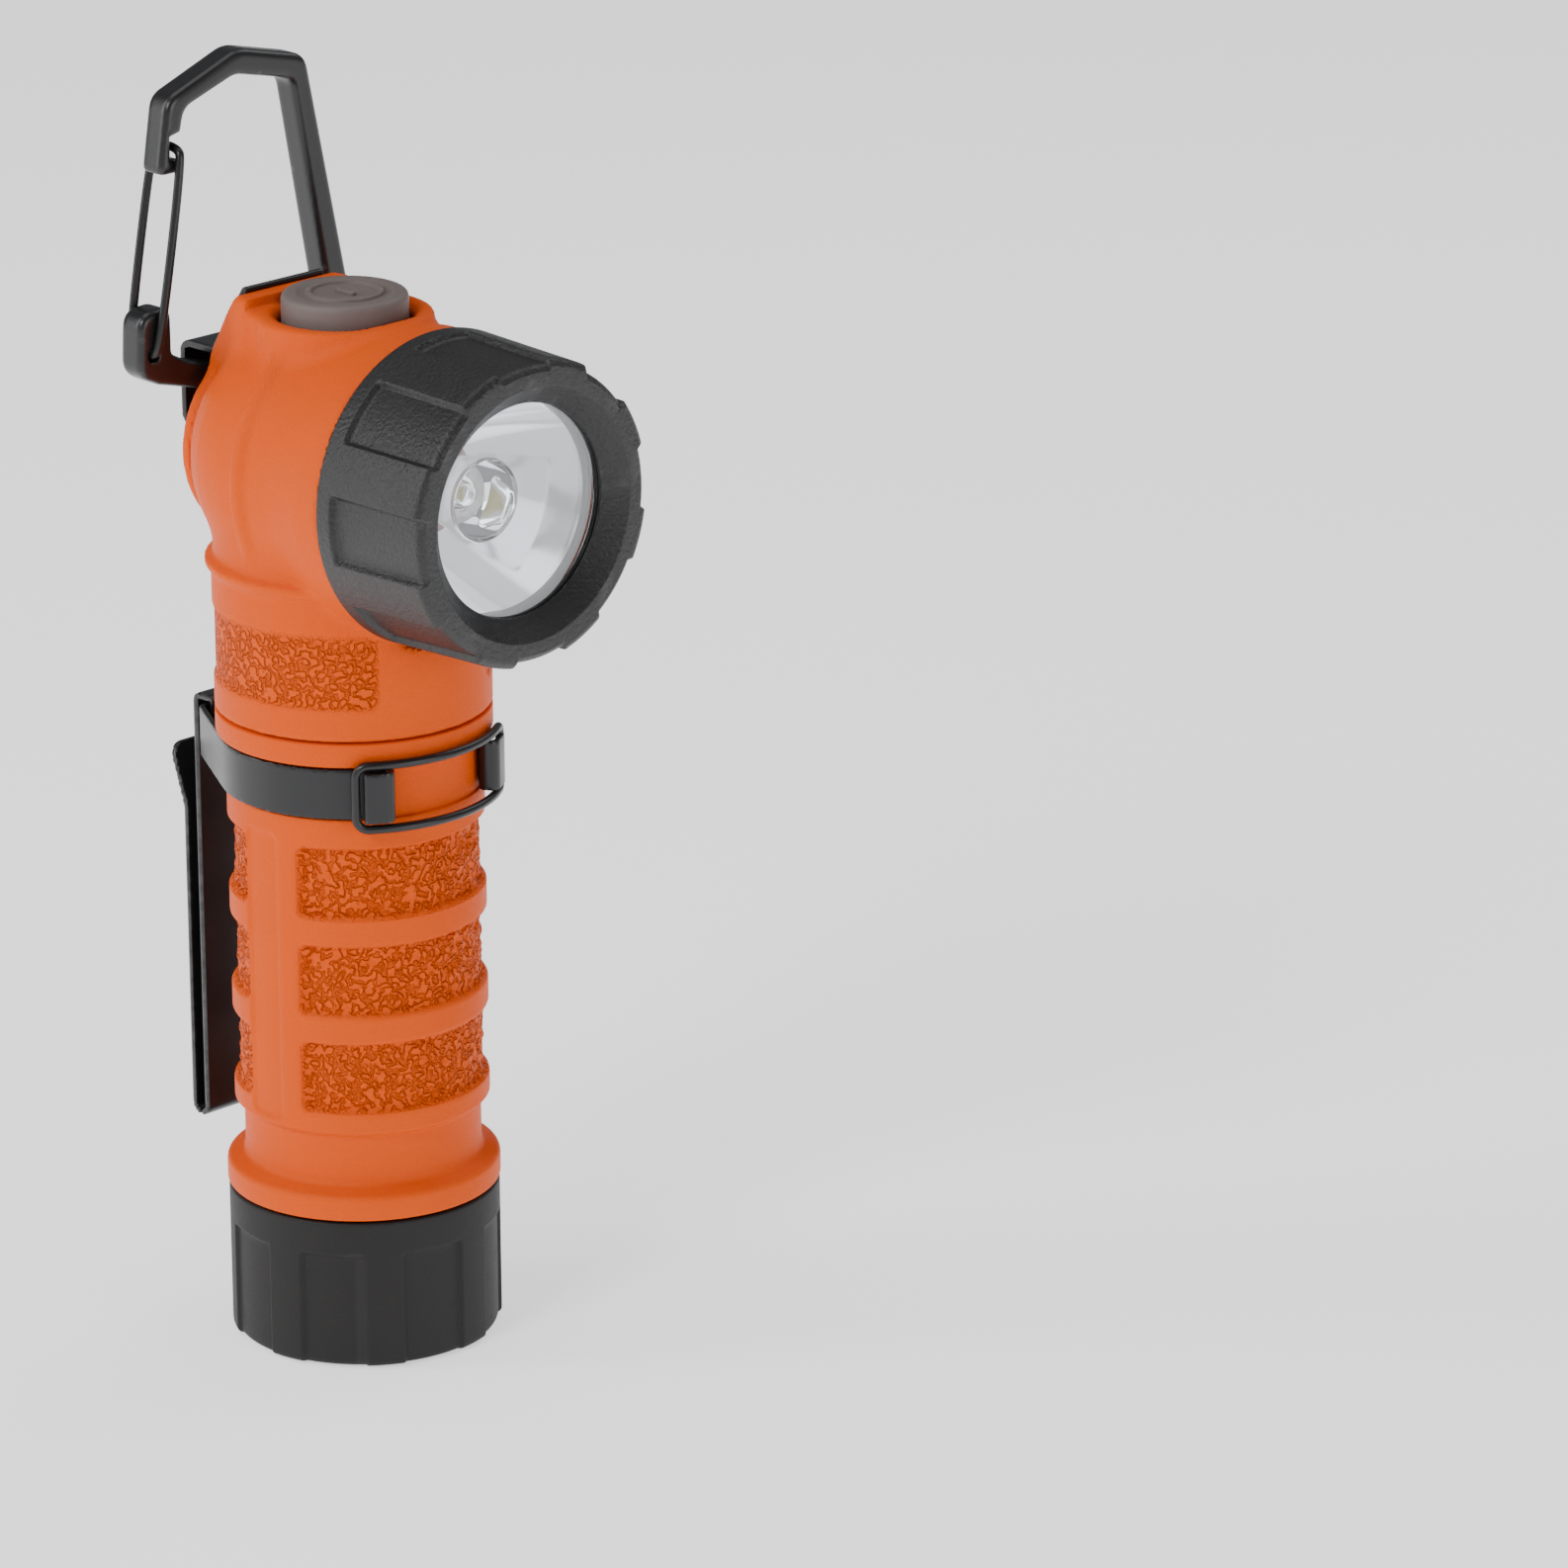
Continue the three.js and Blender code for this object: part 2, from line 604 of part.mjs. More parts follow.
function headOutside() {
  const shell = turnedAlongBeam([
    [0, -headRearFace], [headRearRadius - 0.4, -headRearFace], [headRearRadius, -headRearFace + 0.4],
    [headRearRadius, -headRearFace + 1.4], [headRearRadius - headRimProud, -headRearFace + 1.6],
    [headRadius - 5.6, -14], [headRadius - 3.3, -10.2], [headRadius - 1.6, -5.4],
    [headRadius - pocketDepth, -pocketFront - 1.1], [headRadius - 0.2, -pocketFront],
    [headRadius, -pocketFront + 0.6],
    [headRadius, bezelRear - gap], [bezelThreadCrest - 0.7, bezelRear - gap],
    [bezelThreadCrest - 0.7, bezelRear + 0.9], [bezelThreadCrest - 1.3, bezelRear + 0.9],
    [bezelThreadCrest - 1.3, bezelRear + 2.9], [bezelThreadCrest - 0.7, bezelRear + 2.9],
    [bezelThreadCrest - 0.7, headSpigotFront - 0.5], [bezelThreadCrest - 1.1, headSpigotFront],
    [0, headSpigotFront],
  ]);
  const neck = turned([
    [0, neckBottom], [tubeRadius - 0.3, neckBottom], [tubeRadius, neckBottom + 0.3],
    [tubeRadius, ringBottom - 0.4], [tubeRadius + neckRingProud, ringBottom + 0.2],
    [tubeRadius + neckRingProud, ringTop - 0.3], [tubeRadius - 0.3, ringTop],
    [tubeRadius - 0.3, beamHeight - 4], [0, beamHeight - 4],
  ]).subtract(rodAlongBeam(bezelRearRadius + slipGap, bezelRear - gap, bezelFront, roundSegments));
  const deck = raised(deckFootprint(headRearFace), beamHeight, deckHeight);
  const crest = raised(deckFootprint(headRearFace), deckHeight - 1, crestHeight);
  const crestStart = buttonRadius + wellGap + 0.1;
  const crestFront = box([60, 40, 8], [0, crestStart - 20, deckHeight + 4]);
  const lean = (headRearFace - crestReach) / (deckHeight - slopeFoot);
  const aboveCrest = crestHeight + 1;
  const overhang = across([
    new THREE.Vector2(headRearFace, slopeFoot),
    new THREE.Vector2(crestReach - lean * (aboveCrest - deckHeight), aboveCrest),
    new THREE.Vector2(headRearFace + 9, aboveCrest), new THREE.Vector2(headRearFace + 9, slopeFoot),
  ], 30);
  return sum(shell, neck, deck, crest.subtract(crestFront)).subtract(overhang);
}

// Where the bracket's screws sit, and how each is turned from lying along +Z.
const slopeAngle = Math.atan2(crestReach - headRearFace, deckHeight - slopeFoot);
const upperScrew = {
  position: [0, (headRearFace + crestReach) / 2, (slopeFoot + deckHeight) / 2],
  rotation: -Math.PI / 2 - slopeAngle,
};
const lowerScrew = {
  position: [0, headRearFace, swingHeight - bracketLoopHalf - bracketFootLength / 2 - 0.6],
  rotation: -Math.PI / 2,
};

// A solid drawn along +Z from the face it stands on, set on the head's rear.
function onHeadRear(solid, place) {
  const turnedSolid = solid.rotate([place.rotation / degrees, 0, 0]);
  return turnedSolid.translate(place.position);
}

function headHousing() {
  const cavity = turnedAlongBeam([
    [0, -headCavityRear], [headCavityRadius - 1, -headCavityRear], [headCavityRadius, -headCavityRear + 1],
    [headCavityRadius, headSpigotFront + 1], [0, headSpigotFront + 1],
  ]);
  const socket = rod(headSpigotRadius + gap, neckBottom - 1, spigotTop + gap, roundSegments);
  const passage = rod(neckBore, spigotTop, beamHeight, roundSegments);
  const wellRadius = buttonRadius + wellGap;
  const well = turned([
    [0, beamHeight], [wellRadius, beamHeight], [wellRadius, deckHeight - wellChamfer],
    [wellRadius + wellChamfer, deckHeight], [wellRadius + wellChamfer, crestHeight + 1], [0, crestHeight + 1],
  ]);
  const bandFloor = tubeRadius - neckBandDepth;
  const [from, to] = [neckBandAzimuth, 360 - neckBandAzimuth];
  const bandFoot = neckBottom + neckBandBottom;
  const bandCut = barrelSector(bandFloor, tubeRadius + 1, from, to, bandFoot, bandFoot + neckBandHeight);
  const wire = 0.5;
  const threadRadius = bezelThreadCrest - wire;
  const threadLength = bezelThreadTurns * bezelThreadPitch;
  const helix = new Helix(threadRadius, threadRadius, 0, threadLength, bezelThreadTurns);
  const thread = swept(helix, wire, bezelThreadTurns * 12, 4)
    .rotate([90, 0, 0]).translate([0, -bezelThreadStart, beamHeight]);
  const pilots = [upperScrew, lowerScrew].map((place) => {
    return onHeadRear(rod(screwRadius + gap, -screwLength + 0.6, 1, 12), place);
  });
  return headOutside().add(thread).subtract(sum(cavity, socket, passage, well, bandCut, ...pilots));
}

addPart("head_housing", headHousing(), orangePolymer);

// ---------------------------------------------------------------------------------------------
// Electrics inside the neck and the head
// ---------------------------------------------------------------------------------------------

function contactCarrier() {
  const outer = carrierRadius - gap;
  const bottom = carrierSeat + gap;
  return ring(1.2, outer, bottom, bottom + 2.4, 36);
}

function positiveContactSpring() {
  const wire = 0.4;
  const bottom = cellTop + gap + cellButtonHeight + gap + wire;
  return swept(new Helix(2.4, 3.4, bottom, carrierSeat - wire, 4), wire, 40, 4);
}

const driverBottom = spigotTop + 1.5;
const driverTop = driverBottom + boardThickness;

function driverInductor() {
  const seat = driverTop + gap;
  return rod(3, seat, seat + 3.4, 20).translate([5, 5, 0]);
}

addPart("contact_carrier", contactCarrier(), chipBlack);
addPart("positive_contact_spring", positiveContactSpring(), brass);
addPart("driver_board", rod(neckBore - gap, driverBottom, driverTop, 36), boardGreen);
addPart("driver_inductor", driverInductor(), chipBlack);
addPart("driver_chip", box([5, 4, 1.1], [-5, 4, driverTop + gap + 0.55]), chipBlack);

const sinkFront = ledBoardFront - boardThickness - gap;
const sinkRear = sinkFront - heatSinkThickness;
const leadSlotHalf = 4.5;

function heatSink() {
  const disc = rodAlongBeam(headCavityRadius - gap, sinkRear, sinkFront, roundSegments);
  const slotTop = beamHeight - ledBoardRadius + 3.4;
  const slotHeight = headCavityRadius;
  const slot = box([leadSlotHalf * 2, 20, slotHeight], [0, -12, slotTop - slotHeight / 2]);
  const flangeRoom = rod(flangeRadius + slipGap, flangeBottom - buttonTravel - gap, deckHeight);
  return disc.subtract(slot).subtract(flangeRoom);
}

function lead(side) {
  const x = side * 2.4;
  const end = beamHeight - ledBoardRadius + 1.9;
  return swept(bentCurve([
    [x, -4, driverTop + gap], [x, -4, end - 3.4], [x, -8, end], [x, -sinkFront - gap, end],
  ], 1.2), 0.6, 18, 6);
}

function ledBoard() {
  return rodAlongBeam(ledBoardRadius, ledBoardFront - boardThickness, ledBoardFront);
}

function ledEmitter() {
  const height = 0.9;
  return box([ledSize, height, ledSize], [0, -(ledBoardFront + gap + height / 2), beamHeight]);
}

addPart("heat_sink", heatSink(), aluminium);
addPart("led_board", ledBoard(), boardWhite);
addPart("led_emitter", ledEmitter(), ledYellow);
addPart("lead_positive", lead(1), leadRed);
addPart("lead_negative", lead(-1), leadBlack);

// ---------------------------------------------------------------------------------------------
// Optics and bezel
// ---------------------------------------------------------------------------------------------

const flangeFront = lensBack - gap;

function reflector() {
  const steps = 4;
  const mouth = lensClearRadius - 0.4;
  const depth = flangeFront - reflectorRear;
  const inside = Array.from({ length: steps + 1 }, (_, i) => {
    const y = reflectorRear + depth * i / steps;
    const squared = reflectorThroat ** 2 + (mouth ** 2 - reflectorThroat ** 2) * i / steps;
    return [Math.sqrt(squared), y];
  });
  const outside = inside.slice(0, -1).map(([r, y]) => [r + reflectorWall, y]);
  return turnedAlongBeam([
    ...inside, [lensRadius, flangeFront], [lensRadius, flangeFront - 0.9], [mouth, flangeFront - 1.4],
    ...outside.slice(0, -1).reverse(), inside[0],
  ], 30);
}

function collimator() {
  const rear = reflectorRear + 0.7;
  return turnedAlongBeam([
    [0, rear + 2.2], [1.6, rear + 1.6], [2.1, rear], [3.4, rear],
    [collimatorRadius - 0.5, collimatorFront - 2.4], [collimatorRadius, collimatorFront - 0.5],
    [collimatorRadius - 0.2, collimatorFront], [0, collimatorFront],
  ], 24);
}

function lensGasket() {
  const outer = lensRadius;
  const front = lensSeat - gap;
  const back = front - gasketThickness;
  return turnedAlongBeam([
    [lensClearRadius, back], [outer, back], [outer, front], [lensClearRadius, front], [lensClearRadius, back],
  ]);
}

function bezel() {
  const pocketRear = headSpigotFront + 0.7;
  const body = turnedAlongBeam([
    [bezelBore, bezelRear], [bezelRearRadius - 0.3, bezelRear], [bezelRearRadius, bezelRear + 0.3],
    [bezelFrontRadius, bezelFront - 0.6], [bezelFrontRadius - 0.6, bezelFront],
    [bezelMouthRadius, bezelFront], [lensClearRadius, bezelFront - 2.6], [lensClearRadius, lensSeat],
    [headCavityRadius, lensSeat], [headCavityRadius, pocketRear], [bezelBore, pocketRear],
    [bezelBore, bezelRear],
  ], 40);
  const step = 360 / bezelLandCount;
  const rear = bezelRear + bezelCollar;
  const recesses = Array.from({ length: bezelLandCount }, (_, i) => {
    const middle = bezelLandPhase + (i + 0.5) * step;
    const sweep = Array.from({ length: 5 }, (_, k) => {
      const angle = (middle - bezelRecessWidth / 2 + bezelRecessWidth * k / 4) * degrees;
      return [Math.sin(angle), Math.cos(angle)];
    });
    const floor = bezelFrontRadius - bezelRecessDepth;
    const outline = [
      ...sweep.map(([x, z]) => new THREE.Vector2(x * floor, z * floor)),
      ...sweep.reverse().map(([x, z]) => new THREE.Vector2(x * 24, z * 24)),
    ];
    return deep(outline, -bezelFront - 1, bezelFront + 1 - rear).translate([0, 0, beamHeight]);
  });
  return body.subtract(sum(...recesses));
}

function bezelORing() {
  const torus = new THREE.TorusGeometry(bezelBore - gap - 0.6, 0.6, 5, 24).rotateX(Math.PI / 2);
  return toSolid(torus.translate(0, -(bezelRear + 1.9), beamHeight));
}

addPart("reflector", reflector(), mirrorFinish);
addPart("collimator_optic", collimator(), clearPlastic);
addPart("front_lens", rodAlongBeam(lensRadius, lensBack, lensFront, roundSegments), clearPlastic);
addPart("lens_gasket", lensGasket(), blackRubber);
addPart("bezel", bezel(), blackPolymer);
addPart("bezel_oring", bezelORing(), blackRubber);

// ---------------------------------------------------------------------------------------------
// Push button and its switch
// ---------------------------------------------------------------------------------------------

function switchButton() {
  const body = turned([
    [0, flangeBottom], [flangeRadius, flangeBottom], [flangeRadius, flangeTop],
    [buttonRadius, flangeTop], [buttonRadius, buttonTop - 1.3], [buttonRadius - 0.3, buttonTop - 0.5],
    [buttonRadius - 0.9, buttonTop - 0.25], [0, buttonTop - 0.25],
  ], 32);
  const markRing = ring(4.2, 4.9, buttonTop - 0.5, buttonTop, 24);
  const markBar = box([0.8, 3.2, 0.5], [0, 0, buttonTop - 0.25]);
  return sum(body, markRing, markBar);
}

const switchHeight = 3.4;
const switchBottom = switchTop - switchHeight;

function switchBody() {
  const block = box([9, 9, switchHeight], [0, 0, switchTop - switchHeight / 2]);
  return block.subtract(rod(2.2 + gap, plungerBottom - gap - buttonTravel, switchTop + 1, 20));
}

function switchRetainer() {
  const top = switchBottom - gap - boardThickness - gap;
  const bottom = top - 1.6;
  const halfWidth = Math.sqrt(headCavityRadius ** 2 - (top - beamHeight) ** 2) - gap - 0.4;
  return box([halfWidth * 2, 12, 1.6], [0, 0, (top + bottom) / 2]);
}

function switchBoard() {
  return box([16, 11, boardThickness], [0, 0, switchBottom - gap - boardThickness / 2]);
}

addPart("switch_button", switchButton(), greyRubber);
addPart("switch_actuator", rod(2.2, plungerBottom, flangeBottom - gap, 20), chipBlack);
addPart("switch_body", switchBody(), chipBlack);
addPart("switch_board", switchBoard(), boardGreen);
addPart("switch_retainer", switchRetainer(), chipBlack);

// ---------------------------------------------------------------------------------------------
// Clamp band, latch wire and pocket clip
// ---------------------------------------------------------------------------------------------

// Half of the band's middle line, from the folded ear at the front round to the rear wall.
function bandHalf() {
  const middle = bandInner + bandThickness / 2;
  const leaf = bandInner + bandEarRise - bandThickness / 2;
  const corner = new THREE.Vector2(bandRearHalf, bandRearReach - bandThickness / 2);
  const leave = Math.acos(middle / corner.length());
  const cornerAzimuth = 90 + Math.atan2(corner.y, corner.x) / degrees;
  const tangent = cornerAzimuth - leave / degrees;
  const foldAzimuth = bandEarAzimuth - bandEarBulge;
  const fold = [leaf - 0.6, middle + 0.8].map((r) => new THREE.Vector2(...onBarrel(r, foldAzimuth)));
  const ear = arcPoints(leaf, bandEarTip, bandEarAzimuth - 0.6, 3);
  const wrap = arcPoints(middle, bandEarAzimuth, tangent, 18);
  const last = wrap.at(-1);
  const bend = rounded([[last.x, last.y], [corner.x, corner.y, 1.6], [0, corner.y]], false);
  return [...ear, ...fold, ...wrap, ...bend.slice(1, -1)];
}

function clampBand() {
  const half = bandHalf();
  const mirrored = half.map((point) => new THREE.Vector2(-point.x, point.y)).reverse();
  return raised(stripOutline([...half, ...mirrored], bandThickness), bandBottom, bandTop);
}

function latchWire() {
  const steps = 6;
  const [bottom, top] = latchBarHeights;
  const bar = (height, from, to) => Array.from({ length: steps + 1 }, (_, i) => {
    const azimuth = from + (to - from) * i / steps;
    return new THREE.Vector3(...onBarrel(latchRadius, azimuth), height);
  });
  const bend = latchCorner / latchRadius / degrees;
  const side = latchAzimuth;
  const points = [
    ...bar(bottom, -side + bend, side - bend),
    new THREE.Vector3(...onBarrel(latchRadius, side), bottom + latchCorner),
    new THREE.Vector3(...onBarrel(latchRadius, side), top - latchCorner),
    ...bar(top, side - bend, -side + bend),
    new THREE.Vector3(...onBarrel(latchRadius, -side), top - latchCorner),
    new THREE.Vector3(...onBarrel(latchRadius, -side), bottom + latchCorner),
  ];
  const curve = new THREE.CatmullRomCurve3(points, true, "centripetal");
  return toSolid(new THREE.TubeGeometry(curve, 48, wireRadius, 6, true));
}

const plateFront = bandRearReach + clipStandoff;
const plateMiddle = plateFront + clipThickness / 2;
const armMiddle = plateMiddle + clipThickness + clipGap;
const foldHeight = clipBottom + (armMiddle - plateMiddle) / 2 + clipThickness / 2;

// The strip's middle line round the bottom fold, between two angles counted from +Y towards +Z.
function clipFold(from, to) {
  const radius = (armMiddle - plateMiddle) / 2;
  return Array.from({ length: 6 }, (_, i) => {
    const angle = (from + (to - from) * i / 5) * degrees;
    const y = plateMiddle + radius + radius * Math.cos(angle);
    return new THREE.Vector2(y, foldHeight + radius * Math.sin(angle));
  });
}

function clipPlate() {
  const hookMiddle = bandRearReach - bandThickness - gap - clipThickness / 2;
  const hookTop = bandTop + gap + clipThickness / 2;
  const path = [
    ...rounded([
      [hookMiddle, bandTop - clipHookDrop], [hookMiddle, hookTop, 0.7], [plateMiddle, hookTop, 0.7],
      [plateMiddle, foldHeight + 1],
    ], false, 3),
    ...clipFold(180, 270 - clipFoldOpening),
  ];
  return across(stripOutline(path, clipThickness), clipHalfWidth);
}

function clipArm() {
  const lipStart = clipArmTop - clipLipLength;
  const upper = rounded([
    [armMiddle, foldHeight + 1], [armMiddle, lipStart, 8], [armMiddle + clipLipReach, clipArmTop],
  ], false, 3);
  const path = [...clipFold(-90 + clipFoldOpening, 0), ...upper];
  return across(stripOutline(path, clipThickness), clipHalfWidth);
}

addPart("clamp_band", clampBand(), blackSteel);
addPart("latch_wire", latchWire(), blackSteel);
addPart("clip_plate", clipPlate(), blackSteel);
addPart("clip_arm", clipArm(), blackSteel);

// ---------------------------------------------------------------------------------------------
// Tether bracket
// ---------------------------------------------------------------------------------------------

function tetherBracket() {
  const half = bracketThickness / 2;
  const outwards = new THREE.Vector2(deckHeight - slopeFoot, headRearFace - crestReach).normalize();
  const uphill = new THREE.Vector2(-outwards.y, outwards.x);
  const foot = new THREE.Vector2(headRearFace, slopeFoot).addScaledVector(outwards, gap + half);
  const tip = new THREE.Vector2(crestReach, deckHeight)
    .addScaledVector(outwards, gap + half).addScaledVector(uphill, 1.6);
  const loopTop = swingHeight + bracketLoopHalf + half;
  const loopBottom = swingHeight - bracketLoopHalf - half;
  const loopRear = headRearFace + bracketLoopReach + half;
  const rest = headRearFace + gap + half;
  const path = rounded([
    [tip.x, tip.y], [foot.x, foot.y - 0.2, 0.9], [loopRear, loopTop, 1.4], [loopRear, loopBottom, 1.4],
    [rest, loopBottom, 0.7], [rest, loopBottom - bracketFootLength],
  ], false, 3);
  const strip = across(stripOutline(path, bracketThickness), bracketHalfWidth);
  const holes = [upperScrew, lowerScrew].map((place) => {
    return onHeadRear(rod(screwRadius + gap, -1, 3, 12), place);
  });
  return strip.subtract(sum(...holes));
}

function bracketScrew(place) {
  const seat = gap + bracketThickness + gap;
  const shape = turned([
    [0, -screwLength + 1.2], [screwRadius, -screwLength + 1.2], [screwRadius, seat],
    [screwHeadRadius, seat], [screwHeadRadius, seat + screwHeadHeight * 0.5],
    [screwHeadRadius - 0.6, seat + screwHeadHeight], [0, seat + screwHeadHeight],
  ], 20);
  const slot = box([screwHeadRadius * 3, 0.5, 1], [0, 0, seat + screwHeadHeight]);
  return onHeadRear(shape.subtract(slot), place);
}

addPart("tether_bracket", tetherBracket(), blackSteel);
addPart("bracket_screw_upper", bracketScrew(upperScrew), blackSteel);
addPart("bracket_screw_lower", bracketScrew(lowerScrew), blackSteel);

// ---------------------------------------------------------------------------------------------
// Carabiner, standing upright behind the head with its bar through the bracket
// ---------------------------------------------------------------------------------------------

// Heights in the outline count from the bar's axis at the bracket's middle.
const barSlope = -Math.tan(carabinerTilt * degrees);
const barHalf = carabinerBar / 2 / Math.cos(carabinerTilt * degrees);
const gatePivot = [-15.6, 6.2];
const gateTip = [-10.7, 32.1];

function carabinerOutline() {
  const barAt = (x, side) => [x, x * barSlope + side * barHalf];
  return rounded([
    [-13.6, 28.8, 1], [-13, 32.6, 3], [-12, 38.5, 3], [-0.1, 43, 4.5], [10.9, 40.4, 3],
    [...barAt(20.6, -1), 6], [...barAt(-14.5, -1), 3], [-17.9, 3.8, 3.2], [-17.5, 11.8, 2.6],
    [-12.4, 12.2, 1.8], [-12.4, 5.8, 1.2], [...barAt(-9.5, 1), 3], [...barAt(15.6, 1), 3.6],
    [8.5, 37.6, 2.2], [-0.7, 39.7, 4], [-9.2, 36.8, 2.4], [-9.9, 33.9, 0.5], [-11.6, 33.5],
    [-11.6, 31], [-10.4, 30.6, 0.3], [-10.4, 28.8, 0.6],
  ]);
}

function carabinerBody() {
  const front = carabinerCentre - carabinerDepth / 2;
  const body = deep(carabinerOutline(), front, carabinerDepth).translate([0, 0, swingHeight]);
  const pivotHole = toSolid(new THREE.CylinderGeometry(wireRadius + gap, wireRadius + gap, 20, 12))
    .translate([gatePivot[0], carabinerCentre, gatePivot[1] + swingHeight]);
  return body.subtract(pivotHole);
}

function carabinerGate() {
  const reach = carabinerDepth / 2 + gap + wireRadius;
  const [pivotX, pivotZ] = [gatePivot[0], gatePivot[1] + swingHeight];
  const [tipX, tipZ] = [gateTip[0], gateTip[1] + swingHeight];
  const [near, far] = [carabinerCentre - reach, carabinerCentre + reach];
  return swept(bentCurve([
    [pivotX, near + 2, pivotZ], [pivotX, near, pivotZ], [tipX, near, tipZ], [tipX, far, tipZ],
    [pivotX, far, pivotZ], [pivotX, far - 2, pivotZ],
  ], 1.1), wireRadius, 56, 6);
}

addPart("carabiner_body", carabinerBody(), blackSteel);
addPart("carabiner_gate", carabinerGate(), blackSteel);

export default root;
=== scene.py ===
"""A right-angle hand light for fire crews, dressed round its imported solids.

Sizes inside the makers are millimetres and meshes are stored in metres. Azimuths round the barrel
count from the beam side, -Y, and grow towards +X. Angles round the beam count from straight up
and grow towards +X.
"""

import math

import bmesh
import bpy
import numpy as np
from mathutils import Matrix, Vector, noise


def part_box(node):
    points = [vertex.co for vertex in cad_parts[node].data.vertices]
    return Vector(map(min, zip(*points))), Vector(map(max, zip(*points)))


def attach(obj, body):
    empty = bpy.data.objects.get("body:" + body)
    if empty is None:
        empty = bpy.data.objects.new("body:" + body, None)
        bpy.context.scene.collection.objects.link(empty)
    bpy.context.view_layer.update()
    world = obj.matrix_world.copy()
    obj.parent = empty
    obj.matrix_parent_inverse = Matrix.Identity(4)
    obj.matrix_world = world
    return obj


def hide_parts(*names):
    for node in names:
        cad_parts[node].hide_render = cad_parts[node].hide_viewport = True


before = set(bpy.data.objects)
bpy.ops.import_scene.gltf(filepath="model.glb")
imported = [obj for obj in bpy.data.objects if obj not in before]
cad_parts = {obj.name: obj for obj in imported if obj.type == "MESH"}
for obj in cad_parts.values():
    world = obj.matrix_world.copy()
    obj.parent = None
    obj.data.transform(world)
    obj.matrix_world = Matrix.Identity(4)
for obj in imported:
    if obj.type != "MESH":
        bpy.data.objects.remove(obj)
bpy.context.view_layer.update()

MM = 0.001


def low(node):
    return np.array(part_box(node)[0]) / MM


def high(node):
    return np.array(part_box(node)[1]) / MM


# Sizes shared by several pieces

GAP = 0.3
BEAM = float(low("bezel")[2] + high("bezel")[2]) / 2
CAP_TOP = float(high("tail_cap")[2])
CAP_RADIUS = 17.45
CAP_BORE = 15.5
TUBE = 17.6
GRIP = 16.4
WAIST = 15.2
SHOULDER = CAP_TOP + GAP
WAIST_FOOT = SHOULDER + 3.2
GRIP_FOOT = WAIST_FOOT + 8.1
PANEL_FOOT = GRIP_FOOT + 2.8
PANEL_PITCH = 13.05
PANEL_HEIGHT = 9.5
PANEL_ROWS = 3
PANEL_TOP = PANEL_FOOT + (PANEL_ROWS - 1) * PANEL_PITCH + PANEL_HEIGHT
BAND_FOOT = float(low("clamp_band")[2])
BAND_TOP = float(high("clamp_band")[2])
LIP_FOOT = BAND_TOP + GAP
PARTING = LIP_FOOT + 3.1
NECK_FOOT = PARTING + GAP
CARRIER_SEAT = PARTING + 6.3
SPIGOT_TOP = PARTING + 11.2
SPIGOT_FOOT = float(low("barrel")[2])
BARREL_BORE = 10.6
HEAD_RADIUS = 19.6
HEAD_REAR = 17.6
CAVITY = 14.9
BEZEL_REAR = 16.5
BEZEL_FRONT = 34.3
BEZEL_BORE = 17.7
DECK = BEAM + 19.3
CREST = DECK + 1.4
SLOPE_FOOT = BEAM + 11.85
CREST_REACH = 12.3
WELL = 8.5
BAND_REAR = 21.2
CLIP_FRONT = 22.5
CLIP_THICKNESS = 0.8
PLATE_Y = CLIP_FRONT + CLIP_THICKNESS / 2
ARM_Y = PLATE_Y + 2.5
CLIP_HALF = 7.0
FOLD_OPENING = 18
CLIP_FOOT = float(low("clip_plate")[2])
FOLD_Z = CLIP_FOOT + 1.25 + CLIP_THICKNESS / 2
WIRE = 0.575
SWING_Z = (SLOPE_FOOT + GAP + BEAM + 1.2) / 2
CARABINER_Y = float(low("carabiner_body")[1] + high("carabiner_body")[1]) / 2
CARABINER_DEPTH = 4.2
EYE_HALF = 4.8
LOWER_LEG = 8.4


# Camera, floor and lights

def set_camera():
    lens = bpy.data.cameras.new("camera")
    lens.sensor_width = 36
    lens.lens = 181.6
    holder = bpy.data.objects.new("camera", lens)
    right = Vector((0.7123826, -0.70177915, -0.0041315))
    up = Vector((0.22848622, 0.22636413, 0.946865))
    back = Vector((-0.66355489, -0.67547414, 0.32160473))
    placed = Matrix((right, up, back)).transposed().to_4x4()
    placed.translation = (-0.62809, -0.717, 0.39595)
    holder.matrix_world = placed
    bpy.context.collection.objects.link(holder)
    bpy.context.scene.camera = holder


def soft_light(name, place, target, size, power):
    lamp = bpy.data.lights.new(name, "AREA")
    lamp.shape = "RECTANGLE"
    lamp.size, lamp.size_y = size
    lamp.energy = power
    holder = bpy.data.objects.new(name, lamp)
    aim = Vector(target) - Vector(place)
    holder.location = place
    holder.rotation_euler = aim.to_track_quat("-Z", "Y").to_euler()
    bpy.context.collection.objects.link(holder)


def set_stage():
    world = bpy.data.worlds.new("studio")
    world.use_nodes = True
    sky = world.node_tree.nodes["Background"]
    sky.inputs["Color"].default_value = (0.95, 0.97, 1.0, 1)
    sky.inputs["Strength"].default_value = 0.2
    bpy.context.scene.world = world
    middle = (0, 0, 0.09)
    soft_light("key", (-0.9, -0.15, 0.75), middle, (0.35, 0.35), 6.5)
    soft_light("front_panel", (0.1, -1.25, 0.3), middle, (0.7, 0.5), 4.5)
    soft_light("high_right", (0.75, -0.05, 0.85), middle, (0.6, 0.6), 2.5)
    soft_light("top", (0.0, 0.1, 1.1), middle, (0.7, 0.7), 3)
    soft_light("back_strip", (-0.75, 0.6, 0.5), middle, (0.25, 0.9), 5)


set_camera()
set_stage()


# Material boards

